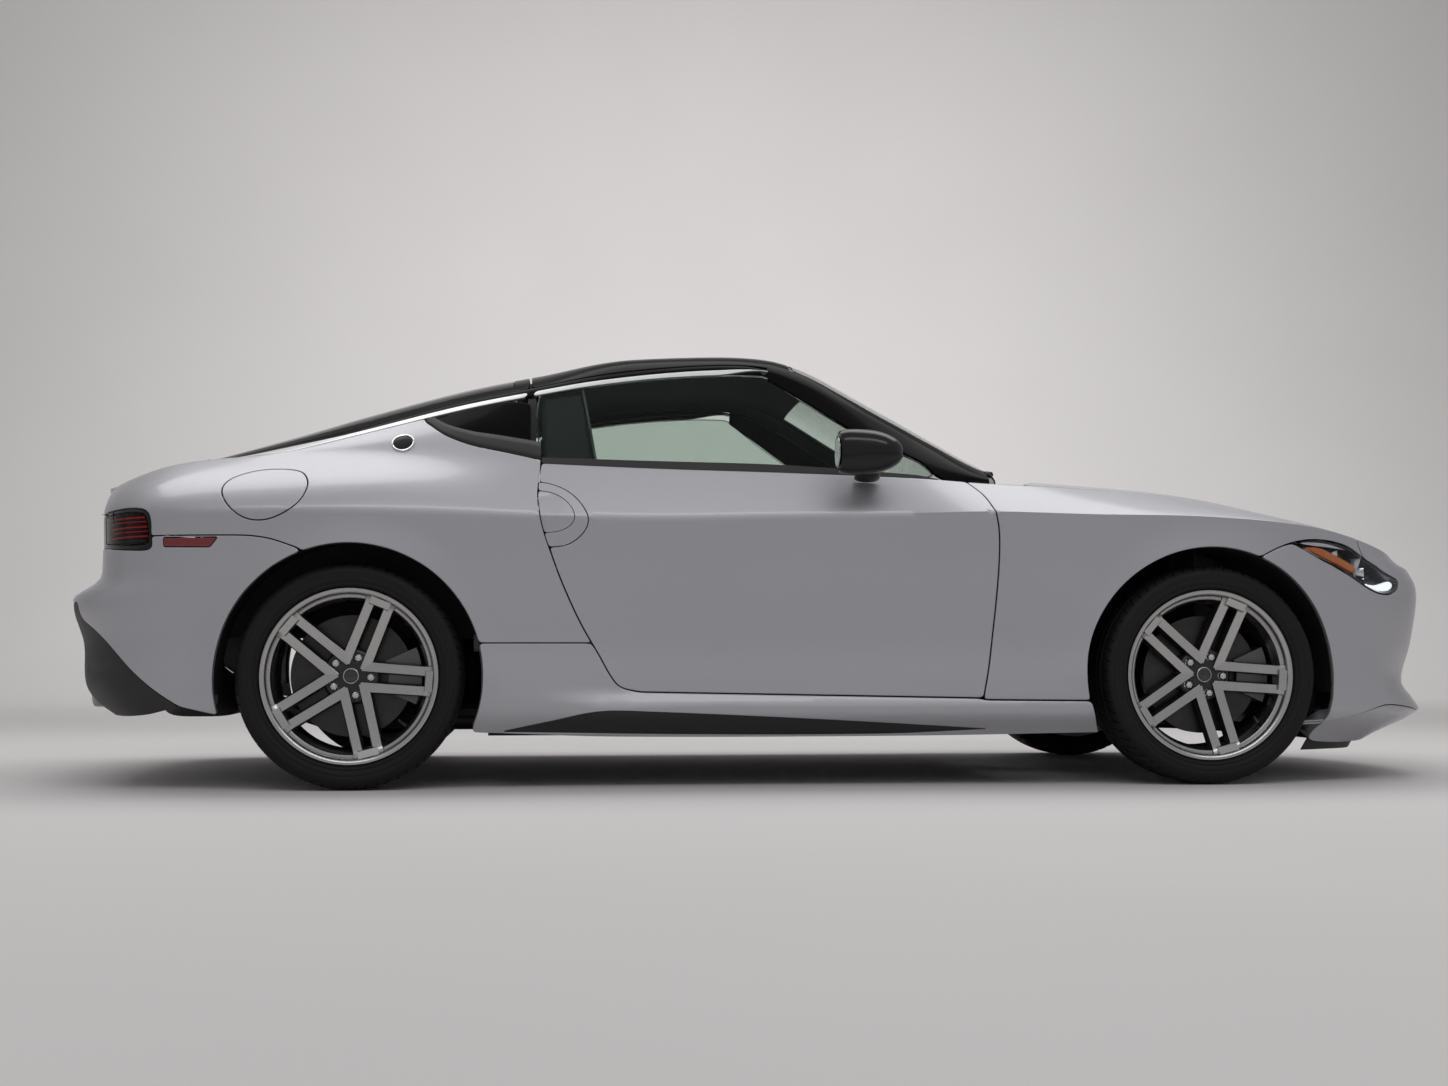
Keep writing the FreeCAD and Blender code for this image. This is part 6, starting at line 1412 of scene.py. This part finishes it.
# ---------------------------------------------------------------- seats
# Two bucket seats in black leather: foam cushions with sewn channels, firm side bolsters with piping,
# a head rest in one with the back, and a hard plastic shell behind.
STITCH = 0.006                        # a sewn channel goes this deep and is this wide


def pillow(half, round_off=0.42, corner=0.35, channels=(), rows=34, steps=72):
    """Boxy pillow: a superellipsoid whose sides pull in between its corners, with grooves across its top."""
    phi = np.linspace(-np.pi / 2, np.pi / 2, rows)[:, None]
    theta = turns(steps)

    def power(value, exponent):
        return np.sign(value) * np.abs(value) ** exponent

    x = power(np.cos(phi), round_off) * power(np.cos(theta), corner)
    y = power(np.cos(phi), round_off) * power(np.sin(theta), corner)
    z = power(np.sin(phi), 0.75) + 0 * theta
    pull = 1 - 0.05 * (1 - np.minimum(np.abs(x), np.abs(y)) ** 2)
    z = z * (1 - 0.22 * np.maximum(np.abs(x), np.abs(y)) ** 4)
    for place in channels:
        z = z - np.where(z > 0, STITCH / half[2] * np.exp(-((x * half[0] - place) / STITCH) ** 2), 0)
    return np.stack([x * half[0] * pull, y * half[1] * pull, z * half[2]], -1)


def pitched(points, degrees, place):
    """Points pitched about the Y axis, nose up, then moved to a place."""
    a = np.radians(degrees)
    x, y, z = points[..., 0], points[..., 1], points[..., 2]
    return np.stack([x * np.cos(a) - z * np.sin(a), y, x * np.sin(a) + z * np.cos(a)], -1) + np.array(place)


PIPING = 0.0032                       # radius of the piping
PIPED_ROW = 22                        # the ring of a pillow's grid along which it is sewn


def piping(grid):
    """Thin tube along one ring of a pillow."""
    line = grid[PIPED_ROW]
    ahead = np.roll(line, -1, 0) - np.roll(line, 1, 0)
    ahead /= np.linalg.norm(ahead, axis=1, keepdims=True)
    side_way = np.cross(ahead, [0.13, 0.21, 0.97])
    side_way /= np.linalg.norm(side_way, axis=1, keepdims=True)
    up_way = np.cross(side_way, ahead)
    ring = turns(6)[:, None]
    tube = line[:, None] + PIPING * (np.cos(ring) * side_way[:, None] + np.sin(ring) * up_way[:, None])
    return tube, quilt(tube, around=True, along=True), 1


def leather(name, colour, roughness=0.42):
    """Leather: pebbled grain from cells, and a slow drift of colour over it."""
    mat = finish(name, colour, roughness, mottle=0.22, mottle_scale=6.0, grain=0.0, Sheen_Weight=0.12,
                 Sheen_Roughness=0.4)
    tree = mat.node_tree
    shader = tree.nodes["Principled BSDF"]
    cells = tree.nodes.new("ShaderNodeTexVoronoi")
    cells.inputs["Scale"].default_value = 380.0
    tree.links.new(tree.nodes["Mapping"].outputs["Vector"], cells.inputs["Vector"])
    bump = tree.nodes.new("ShaderNodeBump")
    bump.inputs["Strength"].default_value = 0.5
    bump.inputs["Distance"].default_value = 0.0006
    tree.links.new(cells.outputs["Distance"], bump.inputs["Height"])
    tree.links.new(bump.outputs["Normal"], shader.inputs["Normal"])
    return mat


seat_leather = leather("seat_leather", (0.022, 0.022, 0.023))
seat_centre = leather("seat_centre", (0.032, 0.032, 0.034), 0.6)
seat_thread = finish("seat_piping", (0.10, 0.10, 0.105), 0.5, grain=0.4, grain_scale=1400.0)
seat_shell = finish("seat_shell", (0.015, 0.015, 0.016), 0.4, grain=0.3, grain_scale=600.0)
CHANNELS = (-0.12, -0.06, 0.0, 0.06, 0.12)
SEAT_PADS = (
    ("cushion", (0.205, 0.150, 0.060), CHANNELS, 8.0, (-0.155, 0.0, 0.352), seat_centre),
    ("cushion_bolster_outer", (0.215, 0.042, 0.072), (), 9.0, (-0.145, 0.182, 0.352), seat_leather),
    ("cushion_bolster_inner", (0.215, 0.042, 0.072), (), 9.0, (-0.145, -0.182, 0.352), seat_leather),
    ("back", (0.265, 0.140, 0.052), CHANNELS, 102.5, (-0.452, 0.0, 0.640), seat_centre),
    ("back_bolster_outer", (0.260, 0.044, 0.078), (), 101.5, (-0.440, 0.180, 0.620), seat_leather),
    ("back_bolster_inner", (0.260, 0.044, 0.078), (), 101.5, (-0.440, -0.180, 0.620), seat_leather),
    ("head_rest", (0.070, 0.112, 0.046), (), 101.0, (-0.532, 0.0, 0.932), seat_leather),
)
for side, sign in BOTH:
    for name, half, channels, pitch_up, place, cover in SEAT_PADS:
        grid = pitched(pillow(half, channels=channels), pitch_up, (place[0], 0.360 + place[1], place[2]))
        stood_for = ("seats",) if side == "left" and name == "cushion" else ()
        pad = weld("seat_%s_%s" % (name, side), other_side([closed(grid), piping(grid)], sign),
                   (cover, seat_thread), "body", "seat_leather", stood_for, shut=True)
shell_v = np.linspace(-1, 1, 25)
shell_s = np.linspace(0, 1, 22)[:, None]
shell = spread(-0.512 - 0.108 * shell_s + 0.055 * np.abs(shell_v) ** 3 + 0.012 * shell_v ** 2,
               0.360 + (0.212 - 0.07 * ease(shell_s, 0.72, 1.0)) * shell_v, 0.300 + 0.690 * shell_s)
pair("seat_shell_%s", sheet(shell), (seat_shell,), "body", "black_plastic", wall=0.006, edge=0.002, flat=40)
base = pitched(pillow((0.20, 0.165, 0.045), 0.25, 0.22), 6.0, (-0.155, 0.360, 0.268))
pair("seat_base_%s", [closed(base)], (seat_shell,), "body", "black_plastic", shut=True)

# ---------------------------------------------------------------- dashboard and steering wheel
# Soft black dashboard with a hooded cluster, three pods and a blank screen, and a leather wheel with
# three spokes on its column.
dash_plastic = finish("dash_plastic", (0.016, 0.016, 0.017), 0.55, grain=0.6, grain_scale=480.0, mottle=0.15)
screen_black = finish("screen_black", (0.006, 0.006, 0.007), 0.12, mottle=0.2, Coat_Weight=1.0,
                      Coat_Roughness=0.03)
DASH = np.array([(0.700, 0.520), (0.520, 0.500), (0.440, 0.560), (0.428, 0.640), (0.424, 0.735),
                 (0.432, 0.790), (0.470, 0.836), (0.530, 0.852), (0.610, 0.857), (0.700, 0.855)])
dash_far = np.concatenate([[0], np.cumsum(np.hypot(*np.diff(DASH, axis=0).T))])
dash_at = np.linspace(0, dash_far[-1], 60)
dash_table = np.column_stack([dash_far, DASH])
dash_run, dash_level = smooth(dash_table, dash_at, 1), smooth(dash_table, dash_at, 2)
dash_y = np.linspace(-0.640, 0.640, 121)[:, None]
hood_bump = np.exp(-((dash_y - 0.360) / 0.120) ** 4) * ease(dash_level, 0.79, 0.85)
dash = spread(dash_run + 0.040 * np.abs(dash_y / 0.64) ** 4 - 0.030 * hood_bump
              + 0.012 * np.exp(-((dash_level - 0.70) / 0.012) ** 2), dash_y, dash_level + 0.028 * hood_bump)
weld("dash_moulding", sheet(dash, True), (dash_plastic,), "body", "soft_black_plastic", ("dashboard",),
     wall=0.004, flat=50)
panel_z = np.linspace(0.700, 0.800, 12)
panel = spread(0.418 - 0.10 * (panel_z - 0.75), np.linspace(-0.095, 0.095, 20)[:, None], panel_z)
weld("centre_screen", sheet(panel), (screen_black,), "body", "black_plastic", wall=0.010, edge=0.003)
POD = ((0.0005, 0.440), (0.026, 0.440), (0.028, 0.424), (0.032, 0.422), (0.034, 0.430), (0.035, 0.500))
pod, pod_faces, _ = lathe(POD, 40, loop=False)
pods = [(pod[..., [1, 0, 2]] + [0.02, y, 0.862], pod_faces, 0) for y in (-0.075, 0.0, 0.075)]
weld("dash_pods", pods, (dash_plastic,), "body", "soft_black_plastic", wall=0.002, flat=35)
COLUMN = np.radians(24)
WHEEL_AT = np.array([0.135, 0.360, 0.735])
column_run = np.array([np.cos(COLUMN), 0, -np.sin(COLUMN)])
column_up = np.array([np.sin(COLUMN), 0, np.cos(COLUMN)])
ACROSS_CAR = np.array([0, 1.0, 0])
around_turn = turns(96)[:, None, None]
tube_turn = turns(16)[:, None]
grip = 0.0145 + 0.002 * np.exp(-((np.cos(around_turn * 2) - 0.2) / 0.4) ** 2)
radial = np.cos(around_turn) * ACROSS_CAR + np.sin(around_turn) * column_up
flat_foot = 1 - 0.05 * np.exp(-((np.sin(around_turn) + 1) / 0.12) ** 2)
rim = (WHEEL_AT + 0.178 * flat_foot * radial
       + grip * (np.cos(tube_turn) * radial + np.sin(tube_turn) * column_run))
wheel_bits = [(rim, quilt(rim, around=True, along=True), 0)]
spoke_out = np.linspace(0.035, 0.170, 10)[:, None, None]
spoke_turn = turns(14)[:, None]
for direction, width in ((ACROSS_CAR, 0.020), (-ACROSS_CAR, 0.020), (-column_up, 0.016)):
    sideways = np.cross(direction, column_run) * width * (1.25 - 1.8 * (spoke_out - 0.03))
    deep = 0.006 + 0.006 * np.sin(spoke_turn) + 0.10 * (0.17 - spoke_out) ** 1.3
    bar = WHEEL_AT + direction * spoke_out + sideways * np.cos(spoke_turn) + column_run * deep
    wheel_bits.append(marked(carried(bar), 1))
boss = pillow((0.062, 0.070, 0.024), 0.5, 0.6)
boss_at = WHEEL_AT + 0.012 * column_run
wheel_bits.append(closed(boss_at - boss[..., :1] * column_up + boss[..., 1:2] * ACROSS_CAR
                         - boss[..., 2:] * column_run))
column_turn = turns(24)[:, None]
column_out = np.array([0.03, 0.035, 0.16, 0.32])[:, None, None]
column_size = np.array([0.030, 0.034, 0.036, 0.048])[:, None, None]
column = WHEEL_AT + column_run * column_out + column_size * (np.cos(column_turn) * ACROSS_CAR
                                                             + np.sin(column_turn) * column_up)
weld("steering_wheel_grip", wheel_bits, (seat_leather, dash_plastic), "steering_wheel", "seat_leather",
     ("steering_wheel",), shut=True, flat=45)
weld("steering_column", [carried(column)], (dash_plastic,), "body", "soft_black_plastic", shut=True, flat=45)

# ---------------------------------------------------------------- cabin trim
# Carpeted floor and luggage bay, a centre console with its lever, a dark cloth roof lining, door trims
# with arm rests, and the painted jambs that the doors shut against.
carpet = finish("carpet", (0.014, 0.014, 0.015), 0.95, mottle=0.3, mottle_scale=40.0, grain=0.9,
                grain_scale=900.0, Sheen_Weight=0.2)
lining_cloth = finish("lining_cloth", (0.020, 0.020, 0.021), 0.92, mottle=0.12, mottle_scale=60.0, grain=0.5,
                      grain_scale=1500.0, Sheen_Weight=0.15)


def soft_box(low, high):
    """Rounded block between two corners."""
    low, high = np.array(low), np.array(high)
    return closed(pillow((high - low) / 2, 0.2, 0.18, rows=20, steps=48) + (low + high) / 2)


weld("console", [soft_box((-0.47, -0.118, 0.36), (0.46, 0.118, 0.475)),
                 soft_box((-0.44, -0.100, 0.45), (-0.17, 0.100, 0.530)),
                 soft_box((0.32, -0.110, 0.42), (0.47, 0.110, 0.70))],
     (dash_plastic,), "body", "soft_black_plastic", shut=True)
LEVER = np.array([(0.045, 0.470), (0.043, 0.500), (0.014, 0.515), (0.011, 0.560), (0.016, 0.580),
                  (0.024, 0.596), (0.024, 0.612), (0.014, 0.624), (0.0005, 0.626)])
lever_turn = turns(28)[:, None]
lever = spread(0.02 + LEVER[:, 0] * np.cos(lever_turn), LEVER[:, 0] * np.sin(lever_turn), LEVER[:, 1])
weld("gear_lever", [(lever, quilt(lever, around=True), 0)], (seat_leather,), "body", "seat_leather", flat=40)
weld("carpets", [soft_box((0.10, 0.18, 0.222), (0.60, 0.62, 0.240)),
                 soft_box((0.10, -0.62, 0.222), (0.60, -0.18, 0.240)),
                 soft_box((-1.72, -0.575, 0.518), (-1.02, 0.575, 0.538))],
     (carpet,), "body", None, shut=True)
weld("roof_lining", skin(below(roof_top, 0.022), plan_loop(-0.740, 0.165, 0.036), gap=0.0, spacing=0.04,
                         depth=0.006),
     (lining_cloth,), "body", None, wall=0.003, flat=50)
door_xz = flank(door_loop)[:, [0, 2]]


def trim_face(flat):
    """Inner door panel at (x, z): upright, with an arm rest swelling inwards and a map pocket below it."""
    x, z = flat[..., 0], flat[..., 1]
    rest = np.exp(-((z - 0.640) / 0.045) ** 4) * ease(x, 0.45, 0.30) * ease(x, -0.62, -0.50)
    pocket = np.exp(-((z - 0.400) / 0.060) ** 4) * ease(x, 0.42, 0.30) * ease(x, -0.30, -0.20)
    bead = np.exp(-((z - 0.76) / 0.006) ** 2)
    return np.stack([x, 0.757 - 0.052 * rest - 0.022 * pocket + 0.006 * bead, z], -1)


trim_loop = shrunk(trim_face, traced([np.concatenate([door_xz, door_xz[:1]])], step=0.02), 0.020)
trim_loop[:, 1] = np.minimum(trim_loop[:, 1], 0.918 - 0.020 * ease(trim_loop[:, 0], 0.30, 0.55))
jamb_paint = finish("jamb_paint", (0.30, 0.30, 0.32), 0.4, 0.6, mottle=0.05, Coat_Weight=0.8)
pair("door_trim_%s", skin(trim_face, trim_loop, gap=0.0, spacing=0.02, depth=-0.020, radius=0.002),
     (door_inner,), "door_%s", "soft_black_plastic", wall=0.002, flat=45)
jamb_line = level_run(np.concatenate([rear_edge(BELT, 0.4237, 40), rear_edge(0.42, 0.2809, 14),
                                      [(-0.4376, 0.2809)]]), 0.012) - [0.004, 0]
outer = below(flank, 0.012)(jamb_line)
inner = outer * [1, 0, 1] + [-0.012, 0.655, 0]
share = np.linspace(0, 1, 8)[:, None]
jamb = outer[:, None] + (inner - outer)[:, None] * share
jamb[..., 0] -= 0.014 * np.sin(np.pi * share[:, 0])
pair("door_jamb_%s", sheet(jamb), (jamb_paint,), "body", "body_paint", wall=0.0012, flat=40)
post_x = np.linspace(-0.768, -0.742, 5)
post = strip(post_x, 0 * post_x + 0.02, 0 * post_x + 0.90, 20,
             lambda flat: window_side(flat) - [0, 0.010, 0])
pair("window_post_%s", sheet(post, True), (black_gloss,), "body", "black_paint", wall=0.010, edge=0.001,
     flat=40)

# ---------------------------------------------------------------- floor, backdrop, lamps and camera
# A pale grey cove of painted board with soft lamps overhead, as cars are shown in a studio.


def plain(name, low, high, scale):
    """Matt painted board: two near greys mixed by noise."""
    mat = bpy.data.materials.new(name)
    mat.use_nodes = True
    tree = mat.node_tree
    link = tree.links.new
    shader = tree.nodes["Principled BSDF"]
    coords = tree.nodes.new("ShaderNodeTexCoord")
    noise = tree.nodes.new("ShaderNodeTexNoise")
    noise.inputs["Scale"].default_value = scale
    link(coords.outputs["Object"], noise.inputs["Vector"])
    blend = tree.nodes.new("ShaderNodeMix")
    blend.data_type = "RGBA"
    blend.inputs[6].default_value = low
    blend.inputs[7].default_value = high
    link(noise.outputs["Fac"], blend.inputs[0])
    link(blend.outputs[2], shader.inputs["Base Color"])
    shader.inputs["Roughness"].default_value = 0.9
    return mat


floor_board = plain("floor_board", (0.66, 0.635, 0.63, 1), (0.70, 0.675, 0.67, 1), 0.7)
cove_run = np.linspace(-45, 45, 60)[:, None]
cove_turn = np.linspace(0, np.pi / 2, 30)
cove_y = np.concatenate([[-45.0, -20.0, -8.0, -4.0, 0.0, 4.0], 8.0 + 6.0 * np.sin(cove_turn), [14.0]])
cove_z = np.concatenate([np.zeros(6), 6.0 - 6.0 * np.cos(cove_turn), [30.0]])
cove = spread(cove_run, cove_y, cove_z)
mesh = bpy.data.meshes.new("cove")
mesh.from_pydata(cove.reshape(-1, 3).tolist(), [], quilt(cove).tolist())
mesh.materials.append(floor_board)
mesh.shade_smooth()
floor = bpy.data.objects.new("cove", mesh)
bpy.context.scene.collection.objects.link(floor)

world = bpy.data.worlds.new("studio")
bpy.context.scene.world = world
world.use_nodes = True
world.node_tree.nodes["Background"].inputs["Color"].default_value = (0.97, 0.975, 1.0, 1)
world.node_tree.nodes["Background"].inputs["Strength"].default_value = 0.42


def lamp(name, spot, aim, size, power):
    """Soft rectangular lamp looking from a spot at an aim."""
    data = bpy.data.lights.new(name, "AREA")
    data.shape = "RECTANGLE"
    data.size, data.size_y = size
    data.energy = power
    obj = bpy.data.objects.new(name, data)
    obj.location = spot
    obj.rotation_euler = (Vector(aim) - Vector(spot)).to_track_quat("-Z", "Y").to_euler()
    bpy.context.scene.collection.objects.link(obj)


lamp("overhead", (0.0, 1.0, 4.6), (0.0, 0.2, 0.0), (8.0, 2.8), 150)
lamp("front_fill", (0.6, -5.7, 6.1), (0.0, -1.2, 0.3), (9.0, 1.6), 125)
lamp("wall_wash", (1.2, 7.6, 6.0), (1.2, 14.0, 1.6), (11.0, 1.6), 340)

camera = bpy.data.cameras.new("camera")
camera.lens = 49.05
camera.sensor_width = 36.0
camera_object = bpy.data.objects.new("camera", camera)
camera_object.location = (-0.7521, -6.6324, 0.4251)
camera_object.rotation_euler = (np.pi / 2 + 0.0504, 0.0, -0.0969)
bpy.context.scene.collection.objects.link(camera_object)
bpy.context.scene.camera = camera_object
bpy.context.scene.view_settings.view_transform = "Standard"
